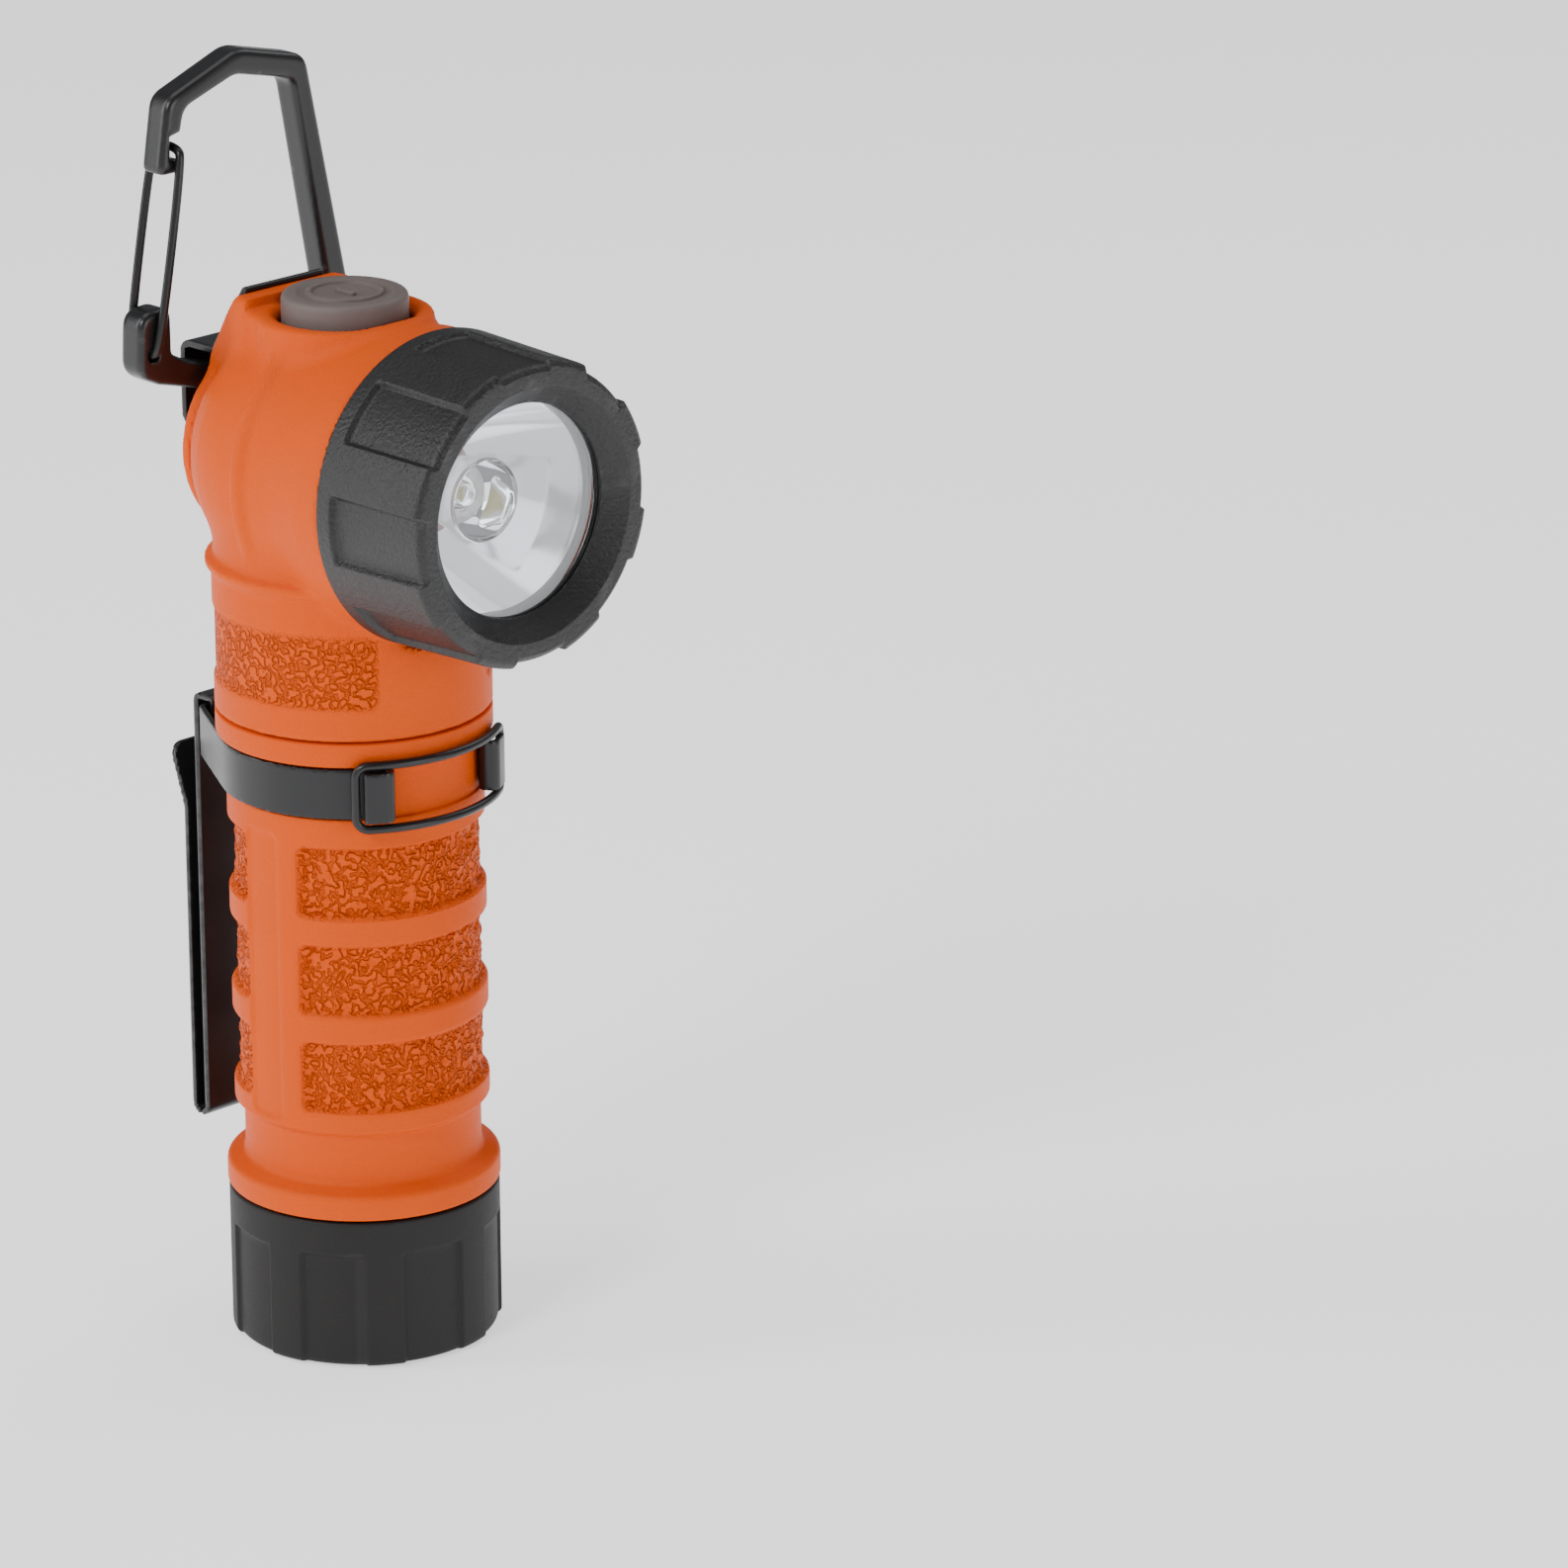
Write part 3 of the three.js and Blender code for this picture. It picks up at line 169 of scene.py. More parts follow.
class Value:
    """A number that varies over a surface. Sums and products of values become Math nodes."""

    def __init__(self, board, socket):
        self.board = board
        self.socket = socket

    def math(self, operation, *others, clamp=False):
        settings = {"operation": operation, "use_clamp": clamp}
        return self.board.add("ShaderNodeMath", settings, dict(enumerate((self, *others))))

    def __add__(self, other):
        return self.math("ADD", other)

    __radd__ = __add__

    def __mul__(self, other):
        return self.math("MULTIPLY", other)

    __rmul__ = __mul__

    def __sub__(self, other):
        return self.math("SUBTRACT", other)

    def __rsub__(self, other):
        return Value(self.board, other).math("SUBTRACT", self)

    def step(self, start, end):
        """0 below start, 1 above end, and smooth between them."""
        settings = {"interpolation_type": "SMOOTHSTEP"}
        return self.board.add("ShaderNodeMapRange", settings, {"Value": self, 1: start, 2: end})

    def limited(self):
        return self.math("ADD", 0, clamp=True)


class Board:
    """The nodes of one material."""

    def __init__(self, name):
        self.material = bpy.data.materials.new(name)
        self.material.use_nodes = True
        self.tree = self.material.node_tree
        self.shader = self.tree.nodes["Principled BSDF"]
        self.place = Value(self, self.add("ShaderNodeTexCoord", output="Object").socket)

    def add(self, kind, settings=None, values=None, output=0):
        """Adds a node. Its settings are set first, then the values or links of its sockets."""
        node = self.tree.nodes.new(kind)
        for key, value in (settings or {}).items():
            setattr(node, key, value)
        for key, value in (values or {}).items():
            self.fill(node.inputs[key], value)
        return Value(self, node.outputs[output])

    def fill(self, socket, value):
        source = value.socket if isinstance(value, Value) else value
        if isinstance(source, bpy.types.NodeSocket):
            self.tree.links.new(source, socket)
        else:
            socket.default_value = source

    def spots(self, size, detail=2.0, rough=0.5, stretch=(1, 1, 1)):
        """Cloudy noise whose features are about size millimetres, 0 to 1."""
        place = self.place
        if stretch != (1, 1, 1):
            place = self.add("ShaderNodeMapping", values={"Vector": place, "Scale": stretch})
        scale = 1 / (size * MM)
        return self.add("ShaderNodeTexNoise", values={
            "Vector": place, "Scale": scale, "Detail": detail, "Roughness": rough})

    def wrinkles(self, size):
        """Winding folds like leather, about size millimetres apart: 0 in a crease, 1 between."""
        return (self.spots(size, 1.2) - 0.5).math("ABSOLUTE").step(0.0, 0.11)

    def attribute(self, name):
        return self.add("ShaderNodeAttribute", {"attribute_name": name}, output="Fac")

    def edges(self, start, end):
        """1 along outward edges of a finely meshed piece."""
        return self.add("ShaderNodeNewGeometry", output="Pointiness").step(start, end)

    def tint(self, mask, plain, marked):
        """Mixes two colours by a mask."""
        return self.add("ShaderNodeMix", {"data_type": "RGBA"}, {
            "Factor": mask, 6: colour(plain), 7: colour(marked)}, output=2)

    def bump(self, height, strength, depth):
        """Raises the surface by height times depth millimetres."""
        previous = self.shader.inputs["Normal"].links
        values = {"Strength": strength, "Distance": depth * MM, "Height": height}
        if previous:
            values["Normal"] = Value(self, previous[0].from_socket)
        return self.set(Normal=self.add("ShaderNodeBump", values=values))

    def set(self, **values):
        for key, value in values.items():
            self.fill(self.shader.inputs[key.replace("_", " ")], value)
        return self.material


def colour(tone):
    return tone if isinstance(tone, Value) else (*tone, 1)


def times(tone, factor, more=0):
    return tuple(part * factor + more for part in tone)


def grained_polymer(name, plain, worn, edge_wear_and_highlight_tone, roughness, grain_size, grain_depth, gloss):
    """A moulded polymer with spark-eroded grain, and leather grain where the mesh says so."""
    board = Board(name)
    leather = board.attribute("leather")
    cloud = board.spots(14, 3)
    speck = board.spots(0.5, 2)
    fine = board.spots(grain_size, 3, 0.6)
    folds = board.wrinkles(1.1)
    crease = (1 - folds) * leather
    # Edges are lightened where the mesh is pointy: partly rubbing wear, partly a painted highlight
    # where edges catch light.
    edge_wear_and_highlight = board.edges(0.52, 0.58) * board.spots(3, 4).step(0.45, 0.7)
    tone = board.tint((cloud * 0.5 + speck * 0.3).limited(), plain, worn)
    # Painted shade: the leather's creases are darkened towards half the plain colour.
    tone = board.tint(crease * 0.4, tone, times(plain, 0.5))
    # Painted highlight and wear: the edge tone is mixed in along the edges.
    tone = board.tint(edge_wear_and_highlight * 0.35, tone, edge_wear_and_highlight_tone)
    board.set(Base_Color=tone)
    board.set(Roughness=(speck * 0.12 + cloud * 0.08 + crease * 0.1 + (roughness - 0.1)).limited())
    board.bump(fine, 0.9, grain_depth)
    board.bump(folds * leather, 1.0, 0.45)
    return board.set(Specular_IOR_Level=gloss)


def matt_rubber(name, plain, dusty, roughness, grain_depth=0.06):
    board = Board(name)
    cloud = board.spots(9, 4)
    fine = board.spots(0.28, 3, 0.65)
    dust = board.spots(2.2, 5, 0.7).step(0.5, 0.78)
    # Painted highlight, with some rubbing wear: the rubber is lightened along all its outward
    # edges.
    edge_wear_and_highlight = board.edges(0.52, 0.6)
    tone = board.tint((cloud * 0.4 + dust * 0.35).limited(), plain, dusty)
    tone = board.tint(edge_wear_and_highlight * 0.35, tone, times(plain, 1.9, 0.01))
    board.set(Base_Color=tone, Roughness=(fine * 0.12 + dust * 0.08 + (roughness - 0.08)).limited())
    board.bump(fine, 0.6, grain_depth)
    return board.set(Specular_IOR_Level=0.28)


def coated_metal(name, plain, edge_wear_and_highlight_tone, roughness, metallic, coat=0.15):
    """Black oxide or anodising: satin, faintly streaked, brighter along its edges from rubbing wear
    and a painted highlight.
    """
    board = Board(name)
    cloud = board.spots(5, 4, 0.6)
    fine = board.spots(0.18, 2)
    hair = board.spots(0.3, 2, 0.5, (1, 1, 0.06)).step(0.55, 0.8)
    edge_wear_and_highlight = board.edges(0.53, 0.62) * board.spots(1.6, 4, 0.65).step(0.3, 0.7)
    paler = times(plain, 1.7)
    tone = board.tint((cloud * 0.5 + hair * 0.2).limited(), plain, paler)
    # Edge tone: rubbing wear and a painted highlight where edges catch light.
    board.set(Base_Color=board.tint(edge_wear_and_highlight * 0.3, tone, edge_wear_and_highlight_tone))
    board.set(Roughness=(cloud * 0.16 + fine * 0.08 + hair * 0.06 + (roughness - 0.14)).limited())
    board.set(Metallic=metallic, Coat_Weight=coat, Coat_Roughness=0.3)
    return board.bump(fine, 0.25, 0.02)


def bright_metal(name, plain, deep, roughness, brushed=(1, 1, 1)):
    board = Board(name)
    cloud = board.spots(4, 3)
    lines = board.spots(0.25, 3, 0.5, brushed)
    board.set(Base_Color=board.tint((cloud * 0.6 + lines * 0.3).limited(), plain, deep))
    board.set(Roughness=(lines * 0.14 + cloud * 0.08 + (roughness - 0.1)).limited(), Metallic=1.0)
    return board.bump(lines, 0.2, 0.015)


def mirror_coat_with_painted_glow(name):
    board = Board(name)
    haze = board.spots(3, 4, 0.6)
    ripple = board.spots(1.6, 2)
    board.set(Base_Color=board.tint(haze, (0.93, 0.93, 0.95), (0.84, 0.84, 0.88)))
    board.set(Roughness=(haze * 0.06 + 0.05).limited(), Metallic=0.82)
    # Painted light: a faint white emission brightens the reflector bowl, which is no lamp.
    board.set(Emission_Color=(1, 1, 1, 1), Emission_Strength=0.35)
    return board.bump(ripple, 0.12, 0.02)


def clear_plastic(name, roughness):
    board = Board(name)
    haze = board.spots(6, 4)
    nick = board.spots(0.4, 3, 0.6, (1, 1, 0.2)).step(0.7, 0.85)
    board.set(Base_Color=board.tint(haze * 0.5, (0.97, 0.985, 1.0), (0.93, 0.95, 0.98)))
    board.set(Roughness=(nick * 0.06 + haze * 0.01 + roughness).limited())
    return board.set(Transmission_Weight=1.0, IOR=1.49)


def moulded(name, plain, other, roughness=0.5):
    board = Board(name)
    cloud = board.spots(3, 4)
    fine = board.spots(0.3, 2)
    board.set(Base_Color=board.tint(cloud, plain, other))
    board.set(Roughness=(fine * 0.12 + cloud * 0.1 + (roughness - 0.1)).limited())
    return board.bump(fine, 0.3, 0.02)


def circuit_board(name, mask, track):
    board = Board(name)
    lines = board.add("ShaderNodeTexBrick", {"offset": 0.35}, {
        "Vector": board.place, "Scale": 420.0, "Mortar Size": 0.06, "Color1": (0, 0, 0, 1),
        "Color2": (0, 0, 0, 1), "Mortar": (1, 1, 1, 1)}, output="Fac")
    cloud = board.spots(2, 3)
    trace = (lines * 0.6 + cloud * 0.25).limited()
    board.set(Base_Color=board.tint(trace, mask, track), Roughness=(cloud * 0.2 + 0.3).limited())
    return board.bump(lines, 0.3, 0.03)


def phosphor(name):
    board = Board(name)
    grainy = board.spots(0.3, 4, 0.7)
    board.set(Base_Color=board.tint(grainy, (0.92, 0.78, 0.2), (0.8, 0.62, 0.1)))
    board.set(Roughness=(grainy * 0.2 + 0.35).limited())
    return board.bump(grainy, 0.3, 0.02)


FINISH = {}
# The third colour of each grained polymer and the second of each coated metal is its edge tone:
# rubbing wear with a painted highlight.
for make, name, *looks in [
    (grained_polymer, "orange_polymer", (0.74, 0.087, 0.0005), (0.66, 0.072, 0.0005),
     (0.85, 0.15, 0.004), 0.48, 0.3, 0.1, 0.1),
    (grained_polymer, "black_polymer", (0.006, 0.006, 0.0065), (0.012, 0.0115, 0.012),
     (0.09, 0.09, 0.09), 0.42, 0.5, 0.2, 0.5),
    (matt_rubber, "black_rubber", (0.009, 0.0085, 0.0085), (0.018, 0.017, 0.016), 0.6),
    (matt_rubber, "seal_rubber", (0.012, 0.012, 0.012), (0.02, 0.02, 0.02), 0.45, 0.02),
    (matt_rubber, "grey_rubber", (0.13, 0.105, 0.098), (0.17, 0.14, 0.13), 0.55, 0.05),
    (coated_metal, "black_steel", (0.016, 0.016, 0.017), (0.16, 0.16, 0.165), 0.36, 0.55),
    (coated_metal, "black_aluminium", (0.02, 0.02, 0.021), (0.2, 0.2, 0.205), 0.34, 0.6, 0.2),
    (bright_metal, "spring_steel", (0.62, 0.63, 0.65), (0.5, 0.51, 0.53), 0.28),
    (bright_metal, "brass", (0.78, 0.56, 0.24), (0.62, 0.43, 0.17), 0.32),
    (bright_metal, "aluminium", (0.72, 0.73, 0.75), (0.6, 0.61, 0.63), 0.38, (1, 1, 0.08)),
    (mirror_coat_with_painted_glow, "mirror_finish"),
    (clear_plastic, "clear_plastic", 0.02),
    (circuit_board, "board_green", (0.02, 0.16, 0.07), (0.12, 0.36, 0.16)),
    (circuit_board, "board_white", (0.82, 0.82, 0.8), (0.7, 0.68, 0.6)),
    (moulded, "moulded_black", (0.018, 0.018, 0.019), (0.03, 0.03, 0.031)),
    (phosphor, "led_yellow"),
    (moulded, "lead_red", (0.5, 0.03, 0.02), (0.42, 0.025, 0.018), 0.42),
    (moulded, "cell_wrap", (0.03, 0.1, 0.3), (0.04, 0.13, 0.36), 0.35),
]:
    FINISH[name] = make(name, *looks)


def floor():
    board = Board("pale_floor")
    cloud = board.spots(300, 3)
    board.set(Base_Color=board.tint(cloud, (0.88, 0.88, 0.88), (0.86, 0.86, 0.865)))
    board.set(Roughness=(cloud * 0.1 + 0.6).limited())
    board.set(Emission_Color=(1, 1, 1, 1), Emission_Strength=0.9)
    mesh = bpy.data.meshes.new("floor")
    reach = 12.0
    corners = [(-reach, -reach, 0), (reach, -reach, 0), (reach, reach, 0), (-reach, reach, 0)]
    mesh.from_pydata(corners, [], [(0, 1, 2, 3)])
    mesh.materials.append(board.material)
    obj = bpy.data.objects.new("floor", mesh)
    obj.location.z = -0.0003
    bpy.context.collection.objects.link(obj)


floor()


# Making pieces

def add_piece(name, mesh, slot, body, *replaced):
    """Puts a finished mesh in the model: its finish, its body and the nodes it stands for."""
    mesh.name = name
    if not mesh.materials:
        mesh.materials.append(FINISH[slot])
    piece = bpy.data.objects.new(name, mesh)
    bpy.context.collection.objects.link(piece)
    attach(piece, body)
    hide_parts(*replaced)


def smooth_mesh(points, faces, sharp=38, turn_outwards=True):
    """A mesh from millimetre points, shaded smooth up to an edge angle."""
    mesh = bpy.data.meshes.new("piece")
    mesh.from_pydata([tuple(point) for point in np.asarray(points) * MM], [], faces)
    if turn_outwards:
        shell = bmesh.new()
        shell.from_mesh(mesh)
        bmesh.ops.remove_doubles(shell, verts=shell.verts, dist=1e-7)
        bmesh.ops.recalc_face_normals(shell, faces=shell.faces)
        shell.to_mesh(mesh)
        shell.free()
    mesh.polygons.foreach_set("use_smooth", [True] * len(mesh.polygons))
    if sharp:
        mesh.set_sharp_from_angle(angle=math.radians(sharp))
    mesh.update()
    return mesh


def joined(*meshes):
    """One mesh from several closed ones."""
    shell = bmesh.new()
    for mesh in meshes:
        shell.from_mesh(mesh)
    whole = bpy.data.meshes.new("piece")
    shell.to_mesh(whole)
    shell.free()
    whole.set_sharp_from_angle(angle=math.radians(38))
    return whole


def ease(x, start, end):
    """0 before start, 1 after end, and smooth between them."""
    t = np.clip((x - start) / (end - start), 0, 1)
    return t * t * (3 - 2 * t)


def eased(corners, closed=False, steps=4):
    """Rounds the corners of a section given as (radius, height) or (radius, height, rounding)."""
    flat = [np.array(corner[:2], float) for corner in corners]
    out = []
    count = len(corners)
    for i, corner in enumerate(corners):
        rounding = corner[2] if len(corner) > 2 else 0
        if not rounding or (not closed and i in (0, count - 1)):
            out.append(flat[i])
            continue
        before, after = flat[i - 1] - flat[i], flat[(i + 1) % count] - flat[i]
        before_size, after_size = np.linalg.norm(before), np.linalg.norm(after)
        bend = math.pi - math.acos(np.clip(before @ after / (before_size * after_size), -1, 1))
        reach = min(rounding * math.tan(bend / 2), before_size * 0.49, after_size * 0.49)
        start = flat[i] + before / before_size * reach
        end = flat[i] + after / after_size * reach
        for k in range(steps + 1):
            t = k / steps
            out.append((1 - t) ** 2 * start + 2 * t * (1 - t) * flat[i] + t * t * end)
    return [(float(r), float(h)) for r, h in out]


def ladder(section, low_end, high_end, pitch):
    """Adds rungs to the straight walls of a section between two heights."""
    out = [section[0]]
    for (r0, h0), (r1, h1) in zip(section, section[1:]):
        inside = min(h0, h1) >= low_end - 0.01 and max(h0, h1) <= high_end + 0.01
        rungs = max(1, math.ceil(abs(h1 - h0) / pitch)) if inside else 1
        out += [(r0 + (r1 - r0) * k / rungs, h0 + (h1 - h0) * k / rungs)
                for k in range(1, rungs + 1)]
    return out


def marked(section, least, marks):
    """Adds rungs at given heights where a section rises outside a least radius."""
    out = []
    for here, after in zip(section, section[1:] + section[:1]):
        out.append(here)
        for height in marks:
            if min(here[0], after[0]) > least and here[1] + 0.02 < height < after[1] - 0.02:
                share = (height - here[1]) / (after[1] - here[1])
                out.append((here[0] + (after[0] - here[0]) * share, height))
    return out


def turned(section, turns=96, relief=None, beam=False, closed=False, sharp=38):
    """Revolves a section round the barrel's axis, or the beam's, with an optional relief.

    The section runs from the axis to the axis, or is closed on itself. relief(azimuth, radius,
    height) gives how far each point of the surface is moved outwards.
    """
    azimuths = np.linspace(0, 360, turns, endpoint=False) if isinstance(turns, int) else turns
    around = len(azimuths)
    points, rows = [], []
    for radius, height in section:
        if radius < 1e-6:
            rows.append([len(points)] * around)
            points.append((0, 0, height))
            continue
        radii = np.full(around, radius)
        if relief:
            radii = radii + relief(azimuths, radius, height)
        turn = np.radians(azimuths)
        rows.append(list(range(len(points), len(points) + around)))
        points += list(zip(radii * np.sin(turn), -radii * np.cos(turn), np.full(around, height)))
    faces = []
    pairs = list(zip(rows, rows[1:] + rows[:1])) if closed else list(zip(rows, rows[1:]))
    for lower, upper in pairs:
        for i in range(around):
            j = (i + 1) % around
            corner = [lower[i], lower[j], upper[j], upper[i]]
            face = [v for k, v in enumerate(corner) if v != corner[k - 1]]
            if len(face) > 2:
                faces.append(face)
    points = np.array(points)
    if beam:
        points = np.column_stack([points[:, 0], -points[:, 2], BEAM - points[:, 1]])
    return smooth_mesh(points, faces, sharp)


def ring_section(inner, outer, foot, top, rounding=0.15):
    corners = [(inner, foot), (outer, foot), (outer, top), (inner, top)]
    return eased([(*corner, rounding) for corner in corners], closed=True, steps=3)


def o_ring(radius, thickness, height, beam=False):
    turns = [2 * math.pi * i / 14 for i in range(14)]
    section = [(radius + thickness * math.cos(a), height + thickness * math.sin(a)) for a in turns]
    return turned(section, 72, beam=beam, closed=True, sharp=0)


# Solids described by their distance field, skinned with a net of quads.

def field_net(distance, corner, far_corner, cell):
    """Skins the zero surface of a distance field with quads, then pulls the points onto it."""
    axes = [np.arange(a - 2 * cell, b + 3 * cell, cell) for a, b in zip(corner, far_corner)]
    grid = np.meshgrid(*axes, indexing="ij")
    field = distance(*grid)
    inside = field < 0
    cells = tuple(n - 1 for n in field.shape)
    total = np.zeros((*cells, 3))
    count = np.zeros(cells)
    crossings = []
    for axis in range(3):
        one, two = (axis + 1) % 3, (axis + 2) % 3
        head, tail = [slice(None)] * 3, [slice(None)] * 3
        head[axis], tail[axis] = slice(0, -1), slice(1, None)
        start, end = field[tuple(head)], field[tuple(tail)]
        cross = inside[tuple(head)] != inside[tuple(tail)]
        share = np.where(cross, start / np.where(cross, start - end, 1), 0)
        crossings.append((cross, inside[tuple(head)]))
        for a in (0, 1):
            for b in (0, 1):
                part = [slice(None)] * 3
                part[one] = slice(a, cells[one] + a)
                part[two] = slice(b, cells[two] + b)
                hit = cross[tuple(part)]
                count += hit
                total[..., axis] += np.where(hit, share[tuple(part)], 0)
                total[..., one] += hit * a
                total[..., two] += hit * b
    active = count > 0
    number = np.full(cells, -1)
    number[active] = np.arange(active.sum())
    points = np.argwhere(active) + total[active] / count[active][:, None]
    points = points * cell + np.array([axis[0] for axis in axes])
    faces = []
    for axis, (cross, start_inside) in enumerate(crossings):
        one, two = (axis + 1) % 3, (axis + 2) % 3
        place = np.argwhere(cross)
        outwards = start_inside[cross]
        corners = []
        for a, b in ((-1, -1), (0, -1), (0, 0), (-1, 0)):
            index = place.copy()
            index[:, one] += a
            index[:, two] += b
            corners.append(number[tuple(index.T)])
        quads = np.column_stack(corners)
        faces.append(np.where(outwards[:, None], quads, quads[:, ::-1]))
    faces = np.concatenate(faces)
    step = cell * 0.05
    for _ in range(3):
        value = distance(*points.T)
        slope = np.stack([
            distance(*(points + offset).T) - distance(*(points - offset).T)
            for offset in np.eye(3) * step], axis=1) / (2 * step)
        size = np.maximum((slope ** 2).sum(axis=1), 0.2)
        move = -(value / size)[:, None] * slope
        length = np.maximum(np.linalg.norm(move, axis=1), 1e-9)
        points = points + move * np.minimum(1, 0.4 * cell / length)[:, None]
    return points, faces.tolist()


def skinned(distance, corner, far_corner, cell, sharp=38):
    """A finished mesh of a field's surface."""
    net = field_net(distance, corner, far_corner, cell)
    return smooth_mesh(*net, sharp=sharp, turn_outwards=False)


def merged(a, b, fillet):
    """The union of two fields, with a fillet where they meet."""
    share = np.clip(0.5 + 0.5 * (b - a) / fillet, 0, 1)
    return b + (a - b) * share - fillet * share * (1 - share)


def common(a, b, rounding=0.3):
    return -merged(-a, -b, rounding)


def carved(a, tool, rounding=0.3):
    return common(a, -tool, rounding)


def outline_distance(u, v, corners, closed=True):
    """Distance to an outline, negative inside a closed one."""
    best = np.full(np.shape(u), 1e9)
    inside = np.zeros(np.shape(u), bool)
    ends = corners[1:] + corners[:1] if closed else corners[1:]
    for (u0, v0), (u1, v1) in zip(corners, ends):
        du, dv = u1 - u0, v1 - v0
        if du == 0 and dv == 0:
            continue
        share = np.clip(((u - u0) * du + (v - v0) * dv) / (du * du + dv * dv), 0, 1)
        best = np.minimum(best, (u - u0 - share * du) ** 2 + (v - v0 - share * dv) ** 2)
        if dv:
            inside ^= ((v0 > v) != (v1 > v)) & (u < du * (v - v0) / dv + u0)
    far = np.sqrt(best)
    return np.where(inside, -far, far) if closed else far


def plate_distance(u, v, half_u, half_v, corner):
    """Distance to a rectangle with round corners."""
    du, dv = np.abs(u) - half_u + corner, np.abs(v) - half_v + corner
    outside = np.hypot(np.maximum(du, 0), np.maximum(dv, 0))
    return outside + np.minimum(np.maximum(du, dv), 0) - corner


def on_barrel(radius, azimuth):
    turn = math.radians(azimuth)
    return (radius * math.sin(turn), -radius * math.cos(turn))


def barrel_arc(radius, start, end, steps):
    return [on_barrel(radius, start + (end - start) * k / steps) for k in range(steps + 1)]


# Wires and screws grown by geometry nodes.

def group_tree(name, inputs):
    """A geometry node tree with a geometry input, named inputs and a geometry output."""
    tree = bpy.data.node_groups.new(name, "GeometryNodeTree")
    tree.interface.new_socket("Geometry", in_out="INPUT", socket_type="NodeSocketGeometry")
    for label, kind in inputs.items():
        tree.interface.new_socket(label, in_out="INPUT", socket_type=kind)
    tree.interface.new_socket("Geometry", in_out="OUTPUT", socket_type="NodeSocketGeometry")
    return tree


def tree_node(tree, kind, settings=None, values=None):
    node = tree.nodes.new(kind)
    for key, value in (settings or {}).items():
        setattr(node, key, value)
    for key, value in (values or {}).items():
        if isinstance(value, bpy.types.NodeSocket):
            tree.links.new(value, node.inputs[key])
        else:
            node.inputs[key].default_value = value
    return node


def ended(tree, last, given):
    """Makes the tree's geometry real, gives it its finish and sends it out."""
    real = tree_node(tree, "GeometryNodeRealizeInstances", values={0: last.outputs[0]})
    finish = tree_node(tree, "GeometryNodeSetMaterial", values={
        0: real.outputs[0], "Material": given.outputs["Finish"]})
    tree_node(tree, "NodeGroupOutput", values={0: finish.outputs[0]})
    return tree


def wire_tree():
    """Round wire along the edges of a path."""
    tree = group_tree("round_wire", {
        "Wire radius": "NodeSocketFloat", "Sides": "NodeSocketInt", "Finish": "NodeSocketMaterial"})
    given = tree_node(tree, "NodeGroupInput")
    path = tree_node(tree, "GeometryNodeMeshToCurve", values={0: given.outputs["Geometry"]})
    circle = tree_node(tree, "GeometryNodeCurvePrimitiveCircle", values={
        "Resolution": given.outputs["Sides"], "Radius": given.outputs["Wire radius"]})
    tube = tree_node(tree, "GeometryNodeCurveToMesh", values={
        "Curve": path.outputs[0], "Profile Curve": circle.outputs[0], "Fill Caps": True})
    smooth = tree_node(tree, "GeometryNodeSetShadeSmooth", values={0: tube.outputs[0]})
    return ended(tree, smooth, given)


def screw_tree():
    """A screw standing on every point, leaning as the point's lean attribute says."""
    tree = group_tree("screws_on_points", {
        "Screw": "NodeSocketObject", "Size": "NodeSocketFloat", "Finish": "NodeSocketMaterial"})
    given = tree_node(tree, "NodeGroupInput")
    lean = tree_node(
        tree, "GeometryNodeInputNamedAttribute", {"data_type": "FLOAT_VECTOR"}, {"Name": "lean"})
    screw = tree_node(tree, "GeometryNodeObjectInfo", values={"Object": given.outputs["Screw"]})
    turn = tree_node(tree, "FunctionNodeEulerToRotation", values={0: lean.outputs[0]})
    placed = tree_node(tree, "GeometryNodeInstanceOnPoints", values={
        "Points": given.outputs["Geometry"], "Instance": screw.outputs["Geometry"],
        "Rotation": turn.outputs[0], "Scale": given.outputs["Size"]})
    return ended(tree, placed, given)


def grown(tree, base, **inputs):
    """Runs a tree on a mesh and returns the plain mesh that it makes."""
    carrier = bpy.data.objects.new("carrier", base)
    bpy.context.collection.objects.link(carrier)
    modifier = carrier.modifiers.new("grow", "NODES")
    modifier.node_group = tree
    for item in tree.interface.items_tree:
        label = item.name.replace(" ", "_").lower()
        if item.in_out == "INPUT" and label in inputs:
            modifier[item.identifier] = inputs[label]
    carrier.update_tag()
    shown = carrier.evaluated_get(bpy.context.evaluated_depsgraph_get())
    mesh = bpy.data.meshes.new_from_object(shown)
    carrier.modifiers.clear()
    bpy.data.objects.remove(carrier)
    return mesh


WIRES = wire_tree()
SCREWS = screw_tree()


def wire(path, radius, slot, closed=False):
    base = bpy.data.meshes.new("path")
    count = len(path)
    links = [(i, i + 1) for i in range(count - 1)] + ([(count - 1, 0)] if closed else [])
    base.from_pydata([tuple(v * MM for v in point) for point in path], links, [])
    return grown(WIRES, base, wire_radius=radius * MM, sides=16, finish=FINISH[slot])


def relaxed(points, rounds):
    """Cuts the corners of a path until it runs smoothly."""
    for _ in range(rounds):
        pairs = zip(points, points[1:])
        cut = [p for a, b in pairs for p in (a * 0.75 + b * 0.25, a * 0.25 + b * 0.75)]
        points = [points[0], *cut, points[-1]]
    return points


# Tail cap, barrel and what is inside them

def thread_relief(azimuth, height, foot, top, pitch, depth):
    """Right-hand thread: how proud its ridge stands at an azimuth and a height."""
    phase = ((height - foot) / pitch + azimuth / 360) % 1
    ridge = ease(1 - np.abs(phase - 0.5) * 2, 0.25, 0.8)
    fade = ease(height, foot, foot + pitch * 0.6) * (1 - ease(height, top - pitch * 0.6, top))
    return depth * ridge * fade


